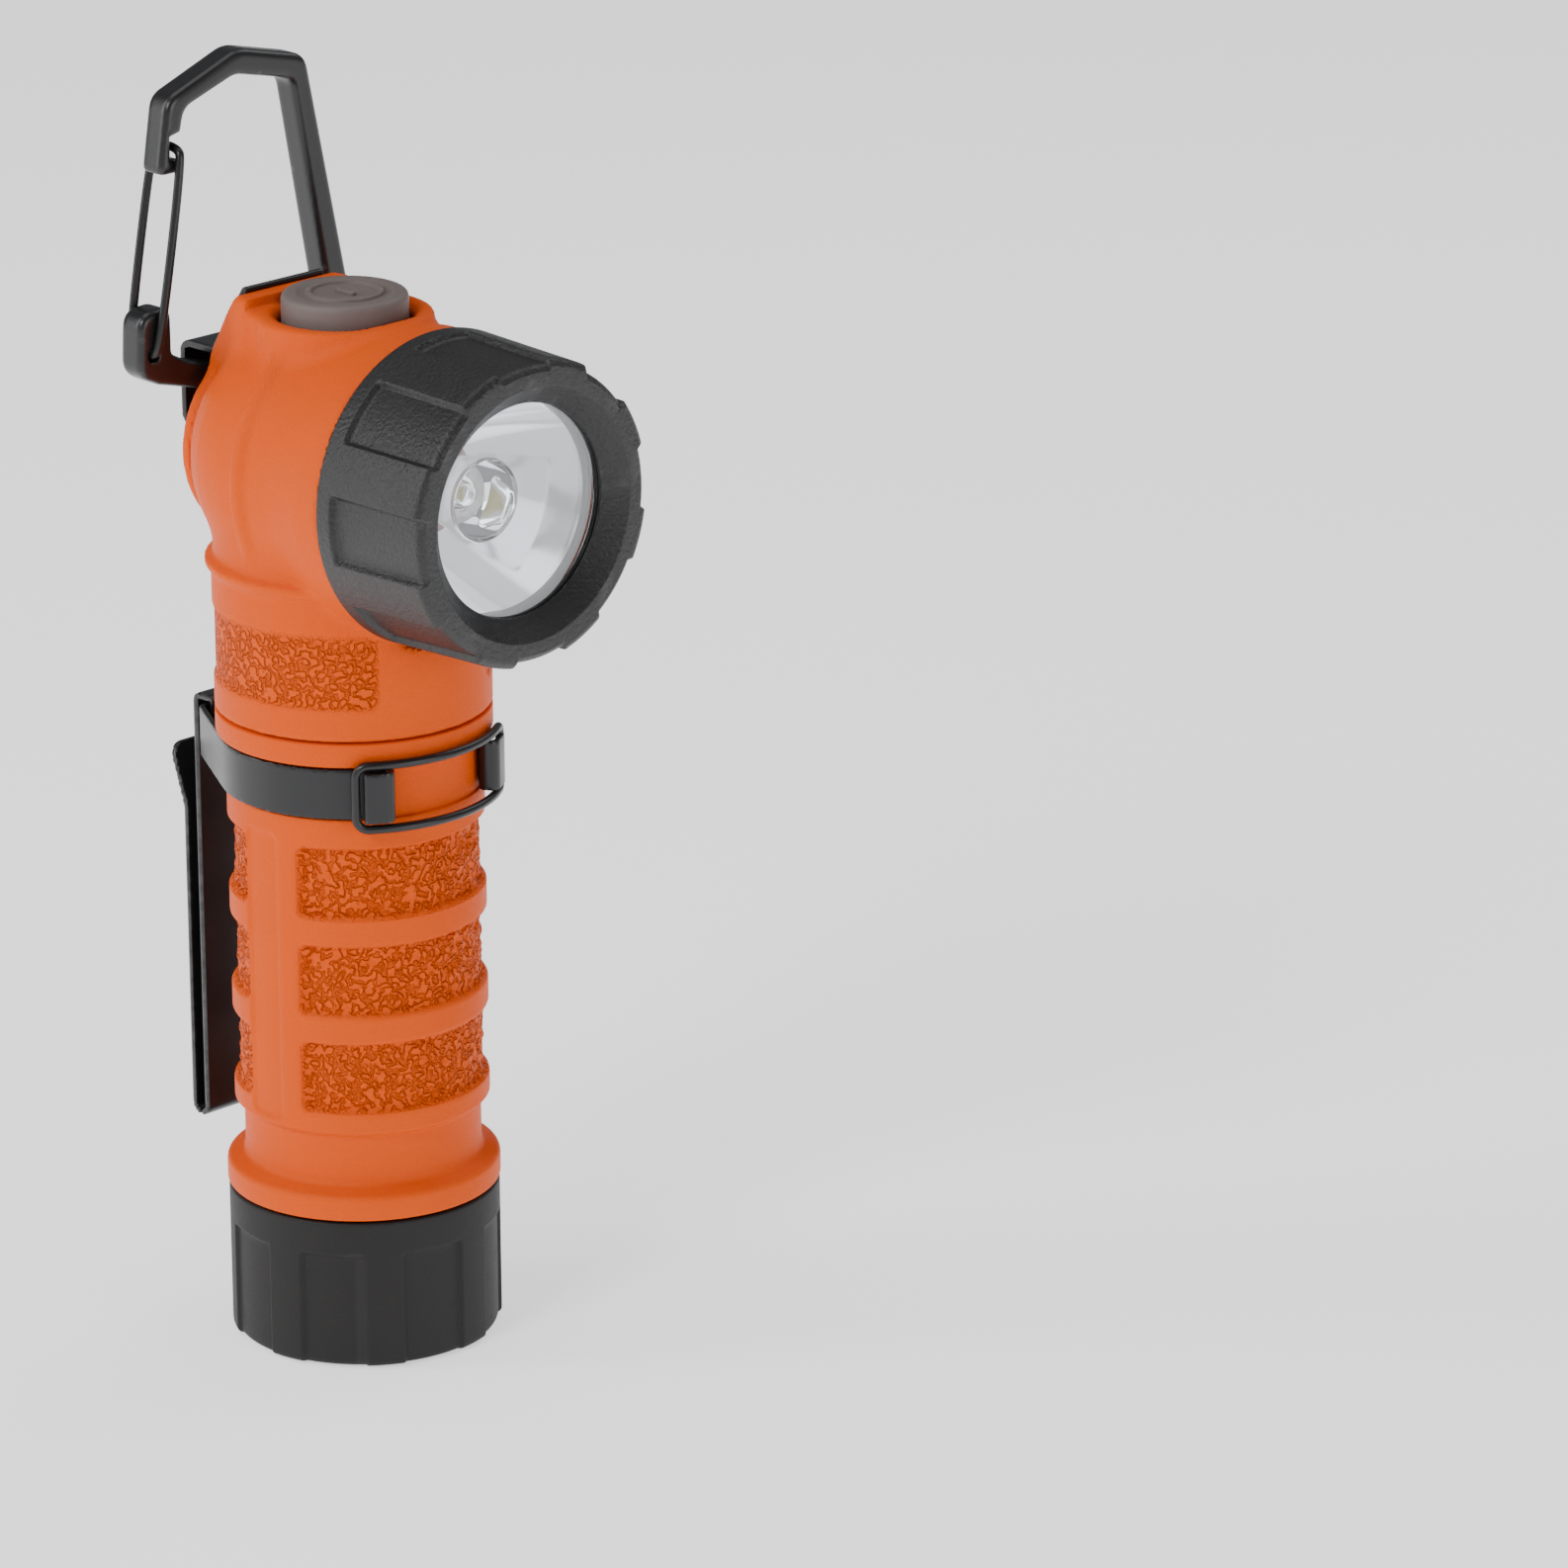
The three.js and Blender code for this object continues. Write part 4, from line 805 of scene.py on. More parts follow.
CAP_PITCH = 2
BEZEL_PITCH = 1.8
LANDS = 8
LAND_STEP = 360 / LANDS
LAND_SOFT = 0.9
CAP_LAND_PHASE = -33.5
CAP_LAND_TOP = 14.8
CAP_LAND_DEPTH = 0.45
BEZEL_LAND_PHASE = 19.5
BEZEL_LAND_REAR = 18.8
BEZEL_LAND_DEPTH = 0.75
BEZEL_RIM = 17.8


def recesses(angle, phase, span):
    """1 on the recesses between evenly spaced lands, 0 on the lands."""
    off = np.abs((angle - phase) % LAND_STEP - LAND_STEP / 2)
    return 1 - ease(off, span / 2 - LAND_SOFT, span / 2 + LAND_SOFT)


def turns_round_lands(phase, half, pitch):
    """Azimuths at an even pitch, with more of them across the edges of the lands."""
    edges = [phase + LAND_STEP * k + side * half + d for k in range(LANDS) for side in (-1, 1)
             for d in (-1.2, -0.8, -0.4, 0, 0.4, 0.8, 1.2)]
    every = np.concatenate([np.arange(0, 360, pitch), np.mod(edges, 360)])
    return np.unique(np.round(every, 3))


def tail_cap():
    def relief(azimuth, radius, height):
        if radius < CAP_BORE + 1:
            return np.zeros_like(azimuth)
        drop = 1 - ease(height, CAP_LAND_TOP, CAP_LAND_TOP + 0.7)
        return -CAP_LAND_DEPTH * drop * recesses(azimuth, CAP_LAND_PHASE, 28)

    section = eased([
        (0, 0.5), (11.6, 0.5, 0.3), (12.1, 0, 0.3), (CAP_RADIUS, 0, 0.9),
        (CAP_RADIUS, CAP_TOP, 0.5), (CAP_BORE, CAP_TOP, 0.3), (CAP_BORE, 4, 0.5), (0, 4)], steps=6)
    section = ladder(section, 0.4, CAP_TOP, 0.9)
    marks = [CAP_LAND_TOP + 0.15 * k for k in range(6)]
    section = marked(section, CAP_RADIUS - 0.01, marks)
    return turned(section, turns_round_lands(CAP_LAND_PHASE, 8.5, 3.0), relief)


def panel_mask(azimuth, height):
    """1 on the floors of the grip panels, 0 on the ribs and the plain columns."""
    mask = np.zeros_like(azimuth)
    from_front = (azimuth + 180) % 360 - 180
    from_rear = (azimuth % 360) - 180
    arc = math.radians(1) * GRIP
    for row in range(PANEL_ROWS):
        middle = PANEL_FOOT + row * PANEL_PITCH + PANEL_HEIGHT / 2
        for off, half in ((from_front, 70), (from_rear, 80)):
            away = plate_distance(off * arc, height - middle, half * arc, PANEL_HEIGHT / 2, 1.4)
            mask = np.maximum(mask, 1 - ease(away, -0.55, 0.15))
    return mask


POCKET_TURN = 89.5
POCKET_HALF_TURN = 9.5
POCKET_ARC = 0.286
POCKET_MIDDLE = 51.6
POCKET_HALF_HEIGHT = 19.2
POCKET_DEPTH = 0.35
PANEL_DEPTH = 0.95
PANEL_GRAIN = 0.34


def barrel():
    thread_foot, thread_top = SPIGOT_FOOT + 1.0, SPIGOT_FOOT + 9.4

    def grain(azimuth, height):
        """Pebbled leather relief of the panel floors."""
        out = np.zeros_like(azimuth)
        for i, turn in enumerate(np.radians(azimuth)):
            spot = Vector((GRIP * math.sin(turn), GRIP * math.cos(turn), height)) / 1.25
            out[i] = noise.noise(spot) + 0.5 * noise.noise(spot * 2.1)
        return out

    def relief(azimuth, radius, height):
        out = np.zeros_like(azimuth)
        if radius < 14:
            return out
        if height < thread_top + 0.5:
            return out + thread_relief(azimuth, height, thread_foot, thread_top, CAP_PITCH, 0.6)
        if GRIP_FOOT < height < BAND_FOOT and radius > 15:
            mask = panel_mask(azimuth, height)
            out -= PANEL_DEPTH * mask
            if PANEL_FOOT < height < PANEL_TOP:
                out += PANEL_GRAIN * grain(azimuth, height) * mask
            side = np.abs((azimuth + 180) % 360 - 180)
            away = plate_distance((side - POCKET_TURN) * POCKET_ARC, height - POCKET_MIDDLE,
                                  POCKET_HALF_TURN * POCKET_ARC, POCKET_HALF_HEIGHT, 1.2)
            out -= POCKET_DEPTH * (1 - ease(away, -0.3, 0.3))
        return out

    seal = CAP_TOP - 2.2
    seal_top = PARTING + 2.9
    outside = eased([
        (13.8, SPIGOT_FOOT, 0.3), (14.4, SPIGOT_FOOT + 0.6, 0.2), (14.4, seal - 1),
        (13.6, seal - 1), (13.6, seal + 1), (14.4, seal + 1), (14.4, SHOULDER, 0.2),
        (TUBE, SHOULDER, 0.45),
        (TUBE, WAIST_FOOT, 0.9), (WAIST, WAIST_FOOT + 0.9, 0.9), (WAIST, GRIP_FOOT - 0.6, 0.7),
        (GRIP, GRIP_FOOT + 0.2, 0.5), (GRIP, BAND_FOOT - GAP, 0.25), (GRIP - GAP, BAND_FOOT - GAP),
        (GRIP - GAP, LIP_FOOT), (TUBE, LIP_FOOT, 0.5), (TUBE, PARTING, 0.3), (15.3, PARTING, 0.15),
        (15.3, seal_top - 1), (13.7, seal_top - 1), (13.7, seal_top + 1), (15.3, seal_top + 1),
        (15.3, SPIGOT_TOP, 0.4), (13.2, SPIGOT_TOP, 0.2), (13.2, CARRIER_SEAT),
        (BARREL_BORE, CARRIER_SEAT, 0.2), (BARREL_BORE, SPIGOT_FOOT, 0.2),
    ], closed=True, steps=5)
    outside = ladder(outside + outside[:1], SPIGOT_FOOT + 0.5, seal - 0.9, 0.2)
    outside = ladder(outside, GRIP_FOOT - 0.1, BAND_FOOT - 0.4, 0.33)[:-1]
    return turned(outside, 288, relief, closed=True)


def leather_by_mask(mesh, mask):
    """Stores how much of the leather grain each point of a mesh shows."""
    count = len(mesh.vertices)
    flat = np.empty(count * 3)
    mesh.vertices.foreach_get("co", flat)
    x, y, z = (flat.reshape(-1, 3) / MM).T
    layer = mesh.attributes.new("leather", "FLOAT", "POINT")
    layer.data.foreach_set("value", mask(x, y, z).astype(np.float32))


def barrel_leather(x, y, z):
    azimuth = np.degrees(np.arctan2(x, -y))
    mask = panel_mask(azimuth, z)
    return mask * (np.hypot(x, y) < GRIP - 0.3) * (np.hypot(x, y) > 14.5)


def helix(start, end, foot, top, turns):
    count = turns * 26
    path = []
    for k in range(count + 1):
        t = k / count
        angle = t * turns * 2 * math.pi
        radius = start + (end - start) * t
        path.append((radius * math.cos(angle), radius * math.sin(angle), foot + (top - foot) * t))
    return path


def make_lower_half():
    add_piece("tail_cap_shell", tail_cap(), "black_rubber", "tail", "tail_cap")
    body = barrel()
    leather_by_mask(body, barrel_leather)
    add_piece("barrel_body", body, "orange_polymer", "light", "barrel")
    seal = o_ring(CAP_BORE - GAP - 0.7, 0.7, CAP_TOP - 2.2)
    add_piece("tail_seal", seal, "seal_rubber", "light", "tail_cap_oring")
    seal = o_ring(14.7, 0.6, PARTING + 2.9)
    add_piece("neck_seal", seal, "seal_rubber", "light", "housing_oring")
    foot = float(low("tail_contact_disc")[2])
    rim = float(high("tail_contact_disc")[2])
    dish = turned(eased([
        (0, foot), (10.3, foot, 0.3), (10.3, rim, 0.2), (9.7, rim, 0.2), (9.7, foot + 0.6, 0.2),
        (0, foot + 0.6)]), 72)
    add_piece("tail_contact", dish, "brass", "tail_contacts", "tail_contact_disc")
    cell_foot = float(low("battery_cell")[2])
    coil = wire(helix(7, 3, foot + 1.35, cell_foot - 0.75, 4), 0.45, "spring_steel")
    add_piece("tail_coil", coil, "spring_steel", "tail_contacts", "tail_spring")
    cell_top = float(high("battery_cell")[2])
    can = turned(eased([
        (0, cell_foot), (9.3, cell_foot, 0.8), (9.3, cell_top, 1.0), (0, cell_top)]), 72)
    add_piece("cell_can", can, "cell_wrap", "light", "battery_cell")
    tip = turned(eased([
        (0, cell_top + 0.3), (3.6, cell_top + 0.3, 0.2), (3.6, cell_top + 1.7, 0.5),
        (0, cell_top + 1.7)]), 48)
    add_piece("cell_tip", tip, "spring_steel", "light", "battery_positive_cap")
    liner = turned(ring_section(9.7, 10.3, SPIGOT_FOOT + 0.5, CARRIER_SEAT - GAP), 72, closed=True)
    add_piece("liner_tube", liner, "aluminium", "light", "barrel_liner")


make_lower_half()


# Head housing

RING_FOOT = NECK_FOOT + 18.6
RING_TOP = RING_FOOT + 1.6
RING_RADIUS = TUBE + 0.75
BAND_SOFT = 0.35
NECK_BAND_HEIGHT = 9.1
NECK_BAND_MIDDLE = NECK_FOOT + 4.3 + NECK_BAND_HEIGHT / 2
NECK_BAND_GAP = 31.5
SCREW_HOLE = 1.4
BEZEL_CLEAR = 20.5
DECK_ROUND = 11.2
DECK_SIDE = 7.1
CREST_FRONT = 8.7
CAVITY_REAR = 11.6
CAVITY_CHAMFER = 9.4
SOCKET = 15.6
PASSAGE = 13.0
NECK_EDGE = 0.3


def neck_band(x, y, z):
    """1 on the textured band of the neck, 0 elsewhere."""
    azimuth = np.degrees(np.arctan2(x, y))
    arc = math.radians(1) * TUBE
    away = plate_distance(azimuth * arc, z - NECK_BAND_MIDDLE,
                          (180 - NECK_BAND_GAP) * arc, NECK_BAND_HEIGHT / 2, 1.0)
    return 1 - ease(away, -BAND_SOFT, BAND_SOFT)


def head_field(x, y, z):
    along = -y
    around_beam = np.hypot(x, z - BEAM)
    around_barrel = np.hypot(x, y)
    shell = outline_distance(around_beam, along, [
        (-1, -HEAD_REAR), (12.2, -HEAD_REAR), (12.6, -HEAD_REAR + 0.4), (12.6, -HEAD_REAR + 1.4),
        (12.0, -HEAD_REAR + 1.7), (14.0, -14), (15.2, -12.2), (16.3, -10.2), (17.0, -8),
        (17.4, -5.4), (17.5, -2.8), (17.6, -1.6), (HEAD_RADIUS - 0.3, -0.4), (HEAD_RADIUS, 0.1),
        (HEAD_RADIUS - 0.2, 0.9), (18.8, 2.0), (18.8, 6), (HEAD_RADIUS, 12),
        (HEAD_RADIUS, BEZEL_REAR - GAP), (16.6, BEZEL_REAR - GAP), (16.6, 17.4), (16.0, 17.4),
        (16.0, 19.4), (16.6, 19.4), (16.6, 26.3), (16.2, 26.8), (-1, 26.8)])
    neck = outline_distance(around_barrel, z, [
        (-1, NECK_FOOT), (TUBE - NECK_EDGE, NECK_FOOT), (TUBE, NECK_FOOT + NECK_EDGE),
        (TUBE, RING_FOOT - 0.4), (RING_RADIUS, RING_FOOT + 0.3), (RING_RADIUS, RING_TOP - 0.5),
        (TUBE - NECK_EDGE, RING_TOP + 0.2), (TUBE - NECK_EDGE, BEAM - 4), (-1, BEAM - 4)])
    neck = neck + 0.3 * neck_band(x, y, z)
    clear = np.maximum(around_beam - BEZEL_CLEAR, -(along - (BEZEL_REAR - GAP)))
    neck = carved(neck, clear, 0.2)
    leave = 70 + math.degrees(math.acos(DECK_SIDE / DECK_ROUND))
    footprint = barrel_arc(DECK_ROUND, -leave, leave, 28)
    footprint += [(DECK_SIDE, HEAD_REAR), (-DECK_SIDE, HEAD_REAR)]
    plan = outline_distance(x, y, footprint)
    deck = common(plan, np.maximum(z - DECK, BEAM - z), 0.9)
    crest = common(plan, np.maximum(z - CREST, BEAM - z), 0.9)
    crest = common(crest, CREST_FRONT - y, 0.6)
    body = merged(merged(shell, neck, 0.9), merged(deck, crest, 0.8), 1.6)
    run, rise = HEAD_REAR - CREST_REACH, DECK - SLOPE_FOOT
    slope = ((y - HEAD_REAR) * rise + (z - SLOPE_FOOT) * run) / math.hypot(run, rise)
    body = common(body, slope, 0.35)
    body = common(body, y - HEAD_REAR, 0.35)
    cavity = np.maximum(around_beam - CAVITY, -(along + CAVITY_REAR))
    chamfer = (around_beam - along - CAVITY - CAVITY_CHAMFER) * math.sqrt(0.5)
    cavity = np.maximum(cavity, chamfer)
    socket = np.maximum(around_barrel - SOCKET, z - (SPIGOT_TOP + GAP))
    passage = np.maximum(np.maximum(around_barrel - PASSAGE, SPIGOT_TOP - z), z - BEAM)
    well = np.maximum(around_barrel - np.maximum(WELL, WELL + z - DECK + 0.8), BEAM - z)
    well = np.where(z > DECK, np.maximum(around_barrel - WELL - 0.8, BEAM - z), well)
    hollow = np.minimum(np.minimum(cavity, socket), np.minimum(passage, well))
    body = carved(body, hollow, 0.25)
    return drilled(body, x, y, z, lambda out: -out - 3.8, 0.15)


def drilled(body, x, y, z, depth, rounding):
    """Sinks the screw holes. depth(out) is below zero along a hole, out being the way out."""
    for spot, lean in screw_seats():
        out = (y - spot[1]) * -math.sin(lean) + (z - spot[2]) * math.cos(lean)
        off = np.sqrt(np.maximum((y - spot[1]) ** 2 + (z - spot[2]) ** 2 - out ** 2, 0) + x ** 2)
        body = carved(body, np.maximum(off - SCREW_HOLE, depth(out)), rounding)
    return body


def screw_seats():
    """Where each bracket screw stands on the head, and how far it leans from pointing up."""
    slope_angle = math.atan2(CREST_REACH - HEAD_REAR, DECK - SLOPE_FOOT)
    upper = (0, (HEAD_REAR + CREST_REACH) / 2, (SLOPE_FOOT + DECK) / 2)
    lower = (0, HEAD_REAR, SWING_Z - EYE_HALF - LOWER_LEG / 2 - 0.6)
    return [(upper, -math.pi / 2 - slope_angle), (lower, -math.pi / 2)]


def head():
    corner = (-20.2, -27.4, NECK_FOOT - 0.4)
    far_corner = (20.2, 18.4, CREST + 0.4)
    points, faces = field_net(head_field, corner, far_corner, 0.52)
    x, y, z = points.T
    along, around = -y, np.hypot(x, z - BEAM)
    turn = np.degrees(np.arctan2(x, z - BEAM))
    ridge = thread_relief(turn, along, 20.0, 26.2, BEZEL_PITCH, 0.65)
    on_spigot = (along > 19.6) & (around > 16.2)
    grow = np.where(on_spigot, ridge, 0) / np.maximum(around, 1)
    points = points + np.column_stack([x * grow, 0 * x, (z - BEAM) * grow])
    mesh = smooth_mesh(points, faces, sharp=42, turn_outwards=False)
    leather_by_mask(mesh, head_leather)
    return mesh


def head_leather(x, y, z):
    return neck_band(x, y, z) * (z < RING_FOOT) * (np.hypot(x, y) > 16.5)


add_piece("head_shell", head(), "orange_polymer", "light", "head_housing")


# Lamp: reflector, collimator, lens and bezel

def bezel():
    def relief(angle, radius, along):
        if radius < BEZEL_RIM or along < BEZEL_LAND_REAR:
            return np.zeros_like(angle)
        start = ease(np.full_like(angle, along), BEZEL_LAND_REAR, BEZEL_LAND_REAR + 0.7)
        rim = ease(np.full_like(angle, radius), BEZEL_RIM, BEZEL_RIM + 1)
        return -BEZEL_LAND_DEPTH * start * rim * recesses(angle, BEZEL_LAND_PHASE, 25)

    section = eased([
        (BEZEL_BORE, BEZEL_REAR, 0.3), (20.1, BEZEL_REAR, 0.4), (20.0, 19.2), (19.5, 33.7, 1.2),
        (18.7, BEZEL_FRONT, 1.0), (16.2, BEZEL_FRONT, 0.35), (13.6, 31.7, 0.15), (13.5, 31.4),
        (CAVITY, 31.4), (CAVITY, 27.5), (BEZEL_BORE, 27.5, 0.2),
    ], closed=True, steps=6)
    section = ladder(section + section[:1], 16.5, 34.0, 0.7)[:-1]
    section = marked(section, 19.3, [BEZEL_LAND_REAR - 0.1 + 0.2 * k for k in range(5)])
    turns = turns_round_lands(BEZEL_LAND_PHASE, 10, 2.5)
    return turned(section, turns, relief, beam=True, closed=True)


def reflector():
    throat, mouth, rear, front = 5.9, 13.1, 17.0, 27.8
    inside = [(math.sqrt(throat ** 2 + (mouth ** 2 - throat ** 2) * t), rear + (front - rear) * t)
              for t in (k / 28 for k in range(29))]
    outside = [(r + 0.8, along) for r, along in inside[:-3]]
    rim = [(14.6, front), (14.6, front - 0.9), (mouth + 0.6, front - 1.0)]
    return turned(inside + rim + outside[::-1], 144, beam=True, closed=True, sharp=30)


def make_lamp():
    add_piece("bezel_ring_body", bezel(), "black_polymer", "bezel_ring", "bezel")
    add_piece("reflector_bowl", reflector(), "mirror_finish", "light", "reflector")
    optic = turned(eased([
        (0, 19.9), (1.2, 19.7, 0.4), (1.9, 17.8, 0.1), (3.4, 17.7, 0.15), (3.9, 19.5), (4.35, 21.0),
        (4.7, 22.5), (5.0, 23.8), (5.2, 24.5, 0.1), (5.0, 24.9, 0.2), (0, 24.9)]), 96, beam=True)
    add_piece("collimator_body", optic, "clear_plastic", "light", "collimator_optic")
    window = turned(eased([
        (0, 28.1), (14.6, 28.1, 0.3), (14.6, 30.1, 0.5), (0, 30.1)]), 128, beam=True)
    add_piece("lens_window", window, "clear_plastic", "lens_stack", "front_lens")
    seal = turned(ring_section(13.5, 14.6, 30.4, 31.1, 0.2), 96, beam=True, closed=True)
    add_piece("lens_seal", seal, "seal_rubber", "lens_stack", "lens_gasket")
    add_piece("bezel_seal", o_ring(BEZEL_BORE - GAP - 0.6, 0.6, BEZEL_REAR + 1.9, beam=True),
              "seal_rubber", "light", "bezel_oring")


make_lamp()


# Push button

def make_button():
    top = float(high("switch_button")[2])
    foot = float(low("switch_button")[2])
    flange = foot + 1.5
    skin = turned(eased([
        (0, foot), (9.2, foot, 0.3), (9.2, flange, 0.3), (8, flange, 0.3), (8, top - 0.25, 1.1),
        (6.2, top - 0.12, 0.6), (5.6, top - 0.45, 0.3), (5.05, top - 0.45, 0.15), (4.9, top, 0.25),
        (4.2, top, 0.25), (4.05, top - 0.45, 0.15), (0, top - 0.5)], steps=5), 120)

    def mark(x, y, z):
        plan = plate_distance(x, y + 0.2, 0.42, 1.7, 0.4)
        return common(plan, np.maximum(z - top, top - 1 - z), 0.2)

    bar = skinned(mark, (-0.6, -2.1, top - 1.0), (0.6, 1.7, top), 0.12)
    add_piece("button_cap", joined(skin, bar), "grey_rubber", "button", "switch_button")


make_button()


# Clamp band, latch and pocket clip

def bent_strip(path, thickness, plane, slab):
    """The field of a strip bent along a path in one plane and cut to a slab across it."""
    def field(x, y, z):
        u, v = plane(x, y, z)
        strip = outline_distance(u, v, path, closed=False) - thickness / 2
        return common(strip, slab(x, y, z), 0.22)
    return field


def band_path():
    middle, leaf = GRIP + 0.4, GRIP + 2.5
    ear = barrel_arc(leaf, 37, 29.4, 6)
    fold = [on_barrel(radius, azimuth) for radius, azimuth in (
        (leaf - 0.25, 27.6), (leaf - 1.0, 26.7), (middle + 0.5, 27.2))]
    corner = (7.7, BAND_REAR - 0.4)
    leave = math.degrees(math.acos(middle / math.hypot(*corner)))
    tangent = 90 + math.degrees(math.atan2(corner[1], corner[0])) - leave
    wrap = barrel_arc(middle, 30, tangent, 40)
    last = wrap[-1]
    bend = eased([(*last,), (*corner, 1.6), (0, corner[1])], steps=6)[1:-1]
    half = ear + fold + wrap + bend
    return half + [(-x, y) for x, y in reversed(half)]


def latch_path():
    radius, reach, bend = 18.475, 41.4, 1.6
    foot, top = BAND_FOOT - GAP - WIRE, BAND_TOP + GAP + WIRE
    lean = math.degrees(bend / radius)
    run = reach - lean
    turns = [math.pi / 2 * k / 6 for k in range(1, 6)]
    path = []
    for start, end, side, rise in ((foot, top, 1, bend), (top, foot, -1, -bend)):
        stops = [(run * (k / 7 - 1), start) for k in range(15)]
        stops += [(run + lean * math.sin(t), start + rise * (1 - math.cos(t))) for t in turns]
        stops += [(reach, start + rise), (reach, (foot + top) / 2), (reach, end - rise)]
        stops += [(run + lean * math.cos(t), end - rise * (1 - math.sin(t))) for t in turns]
        path += [(*on_barrel(radius, side * azimuth), height) for azimuth, height in stops]
    return path


def clip_fold(start, end):
    radius = (ARM_Y - PLATE_Y) / 2
    turns = [math.radians(start + (end - start) * k / 10) for k in range(11)]
    return [(PLATE_Y + radius + radius * math.cos(t), FOLD_Z + radius * math.sin(t)) for t in turns]


def plate_path():
    hook = BAND_REAR - 0.8 - GAP - 0.4
    hook_top = BAND_TOP + GAP + 0.4
    bends = eased([
        (hook, BAND_TOP - 2.6), (hook, hook_top, 0.9), (PLATE_Y, hook_top, 0.9),
        (PLATE_Y, FOLD_Z + 1)])
    return bends + clip_fold(180, 270 - FOLD_OPENING)


def arm_path():
    top = BAND_FOOT - 0.8
    upper = eased([(ARM_Y, FOLD_Z + 1), (ARM_Y, top - 7.5, 4), (ARM_Y + 2.62, top)], steps=8)
    return clip_fold(-90 + FOLD_OPENING, 0) + upper


def make_clamp():
    band_middle = (BAND_FOOT + BAND_TOP) / 2
    half = (BAND_TOP - BAND_FOOT) / 2
    band = bent_strip(
        band_path(), 0.8, lambda x, y, z: (x, y), lambda x, y, z: np.abs(z - band_middle) - half)
    strip = skinned(band, (-18, -18, BAND_FOOT), (18, 21.5, BAND_TOP), 0.34)
    add_piece("clamp_band_strip", strip, "black_steel", "light", "clamp_band")
    latch = wire(latch_path(), WIRE, "black_steel", closed=True)
    add_piece("latch_loop", latch, "black_steel", "latch", "latch_wire")

    def across(x, y, z):
        return (y, z)

    plate = bent_strip(
        plate_path(), CLIP_THICKNESS, across, lambda x, y, z: np.abs(x) - CLIP_HALF)
    plate = skinned(plate, (-7, 19, CLIP_FOOT), (7, 25, BAND_TOP + 1.2), 0.36)
    add_piece("clip_back", plate, "black_steel", "light", "clip_plate")
    top = BAND_FOOT - 0.8

    def arm_slab(x, y, z):
        return plate_distance(x, z - (top - 40), CLIP_HALF, 40.4, 2.2)

    arm = bent_strip(arm_path(), CLIP_THICKNESS, across, arm_slab)
    arm = skinned(arm, (-7, 23.5, CLIP_FOOT), (7, 29.5, top + 0.5), 0.36)
    add_piece("clip_spring_arm", arm, "black_steel", "arm", "clip_arm")


make_clamp()


# Tether bracket, its screws and the carabiner

BRACKET = 0.9
BRACKET_HALF = 6.5
TOUCH = 0.05


def bracket_path():
    half = BRACKET / 2
    run, rise = HEAD_REAR - CREST_REACH, DECK - SLOPE_FOOT
    size = math.hypot(run, rise)
    out = (rise / size, run / size)
    up = (-out[1], out[0])
    lift = TOUCH + half
    foot = (HEAD_REAR + out[0] * lift, SLOPE_FOOT + out[1] * lift)
    tip = (CREST_REACH + out[0] * lift + up[0] * 1.6, DECK + out[1] * lift + up[1] * 1.6)
    sweep = math.hypot(CARABINER_DEPTH / 2, 1.7)
    rear = HEAD_REAR + 2 * (GAP + sweep) + half
    top, bottom = SWING_Z + EYE_HALF + half, SWING_Z - EYE_HALF - half
    rest = HEAD_REAR + lift
    return eased([
        tip, (foot[0], foot[1] - 0.2, 0.9), (rear, top, 1.6), (rear, bottom, 1.6),
        (rest, bottom, 0.9), (rest, bottom - LOWER_LEG)], steps=6)


def bracket_field(x, y, z):
    strip = outline_distance(y, z, bracket_path(), closed=False) - BRACKET / 2
    slab = plate_distance(x, z - (DECK + SWING_Z - 14) / 2, BRACKET_HALF, 17.2, 1.8)
    body = common(strip, slab, 0.22)
    return drilled(body, x, y, z, lambda out: np.abs(out) - 3, 0.12)


def screw_pair():
    seat = TOUCH + BRACKET + TOUCH
    shank = turned(eased([
        (0, -3.2), (0.8, -3.2, 0.2), (1.1, -2.8), (1.1, seat), (2.2, seat, 0.15),
        (2.2, seat + 1.0, 0.35), (1.5, seat + 1.55, 0.35), (1.15, seat + 1.55, 0.1),
        (1.05, seat + 0.7), (0, seat + 0.65)], steps=4), 40)
    screw = bpy.data.objects.new("screw_pattern", shank)
    bpy.context.collection.objects.link(screw)
    base = bpy.data.meshes.new("seats")
    seats = screw_seats()
    base.from_pydata([tuple(v * MM for v in spot) for spot, _ in seats], [], [])
    lean = base.attributes.new("lean", "FLOAT_VECTOR", "POINT")
    lean.data.foreach_set("vector", [v for _, angle in seats for v in (angle, 0, 0)])
    mesh = grown(SCREWS, base, screw=screw, size=1.0, finish=FINISH["black_steel"])
    bpy.data.objects.remove(screw)
    return mesh


def carabiner_outline():
    slope = -math.tan(math.radians(15))
    half = 1.7 / math.cos(math.radians(15))

    def bar(x, side):
        return (x, x * slope + side * half)

    return eased([
        (-13.6, 28.8, 1), (-13, 32.6, 3), (-12, 38.5, 3), (-0.1, 43, 4.5), (10.9, 40.4, 3),
        (*bar(20.6, -1), 6), (*bar(-14.5, -1), 3), (-17.9, 3.8, 3.2), (-17.5, 11.8, 2.6),
        (-12.4, 12.2, 1.8), (-12.4, 5.8, 1.2), (*bar(-9.5, 1), 3), (*bar(15.6, 1), 3.6),
        (8.5, 37.6, 2.2), (-0.7, 39.7, 4), (-9.2, 36.8, 2.4), (-9.9, 33.9, 0.5), (-11.6, 33.5),
        (-11.6, 31), (-10.4, 30.6, 0.3), (-10.4, 28.8, 0.6)], closed=True, steps=7)


GATE_PIVOT = (-15.6, 6.2)
GATE_TIP = (-10.7, 32.1)


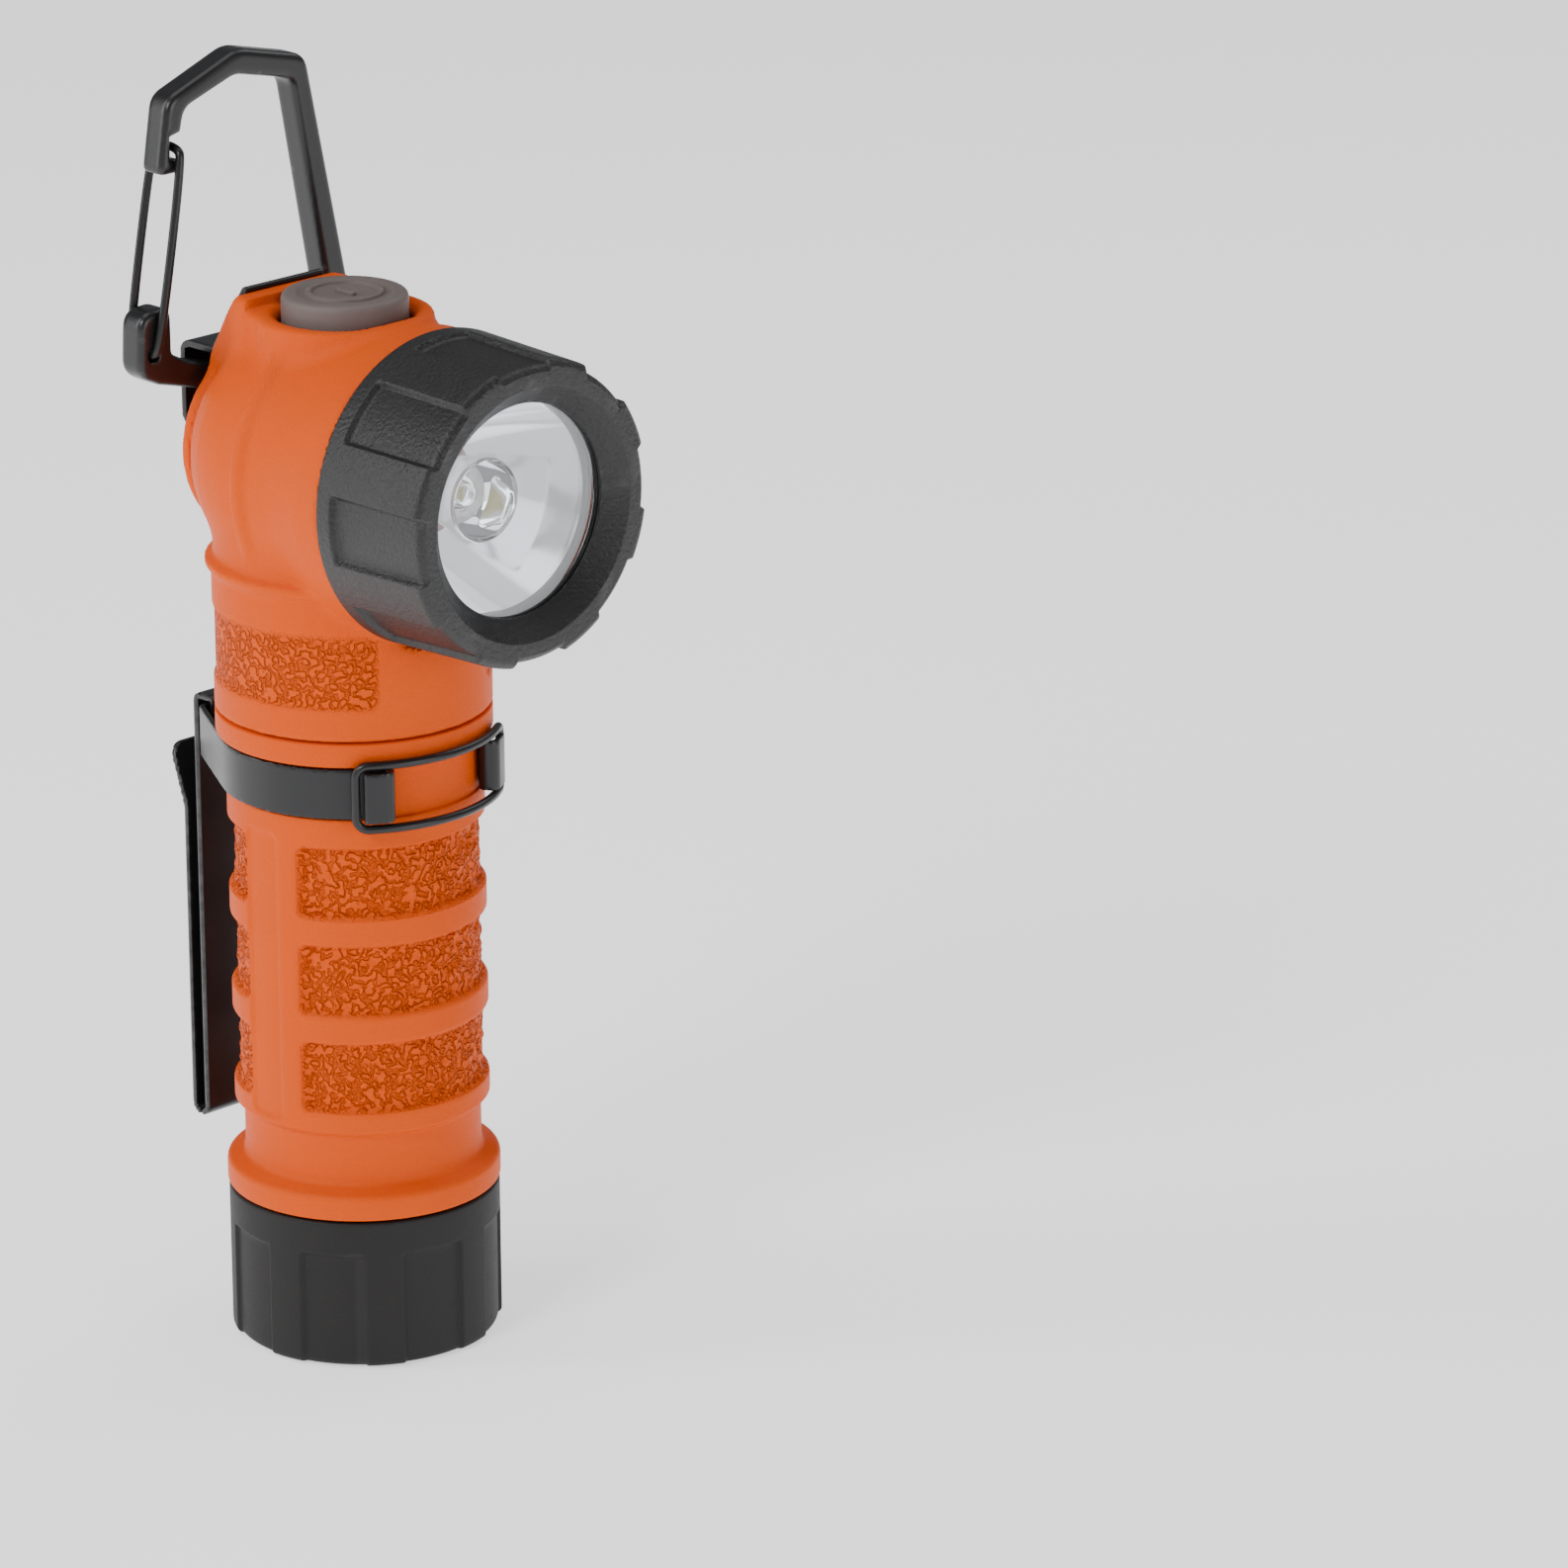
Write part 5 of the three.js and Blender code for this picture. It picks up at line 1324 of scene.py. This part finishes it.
def carabiner_field(x, y, z):
    plan = outline_distance(x, z - SWING_Z, carabiner_outline())
    body = common(plan, np.abs(y - CARABINER_Y) - CARABINER_DEPTH / 2, 1.1)
    hole = np.hypot(x - GATE_PIVOT[0], z - SWING_Z - GATE_PIVOT[1]) - 0.875
    return carved(body, hole, 0.15)


def gate_path():
    reach = CARABINER_DEPTH / 2 + GAP + WIRE
    near, far = CARABINER_Y - reach, CARABINER_Y + reach
    pivot, tip = GATE_PIVOT, GATE_TIP
    corners = [np.array([x, y, z + SWING_Z]) for (x, z), y in (
        (pivot, near + 2), (pivot, near), (tip, near), (tip, far), (pivot, far), (pivot, far - 2))]
    points = [corners[0]]
    for before, here, after in zip(corners, corners[1:], corners[2:]):
        for way in (before - here, after - here):
            points.append(here + way / np.linalg.norm(way) * 1.2)
    return relaxed([*points, corners[-1]], 4)


def make_tether():
    plate = skinned(bracket_field, (-6.6, 11.5, SWING_Z - 15), (6.6, 25, DECK + 3), 0.34)
    add_piece("tether_plate", plate, "black_steel", "light", "tether_bracket")
    add_piece("bracket_screws", screw_pair(), "black_steel", "light",
              "bracket_screw_upper", "bracket_screw_lower")
    corner, far_corner = low("carabiner_body"), high("carabiner_body")
    body = skinned(carabiner_field, corner, far_corner, 0.3, sharp=0)
    add_piece("carabiner_frame", body, "black_aluminium", "carabiner", "carabiner_body")
    gate = wire(gate_path(), WIRE, "black_steel")
    add_piece("carabiner_wire", gate, "black_steel", "gate", "carabiner_gate")


make_tether()


# Finishes of the inner pieces that keep their solids

KEPT = {
    "moulded_black": ["contact_carrier", "driver_inductor", "driver_chip", "lead_negative",
                      "switch_actuator", "switch_body", "switch_retainer"],
    "board_green": ["driver_board", "switch_board"],
    "board_white": ["led_board"],
    "led_yellow": ["led_emitter"],
    "lead_red": ["lead_positive"],
    "brass": ["positive_contact_spring"],
    "aluminium": ["heat_sink"],
}
for slot, nodes in KEPT.items():
    for node in nodes:
        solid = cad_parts[node]
        solid.data.materials.clear()
        solid.data.materials.append(FINISH[slot])
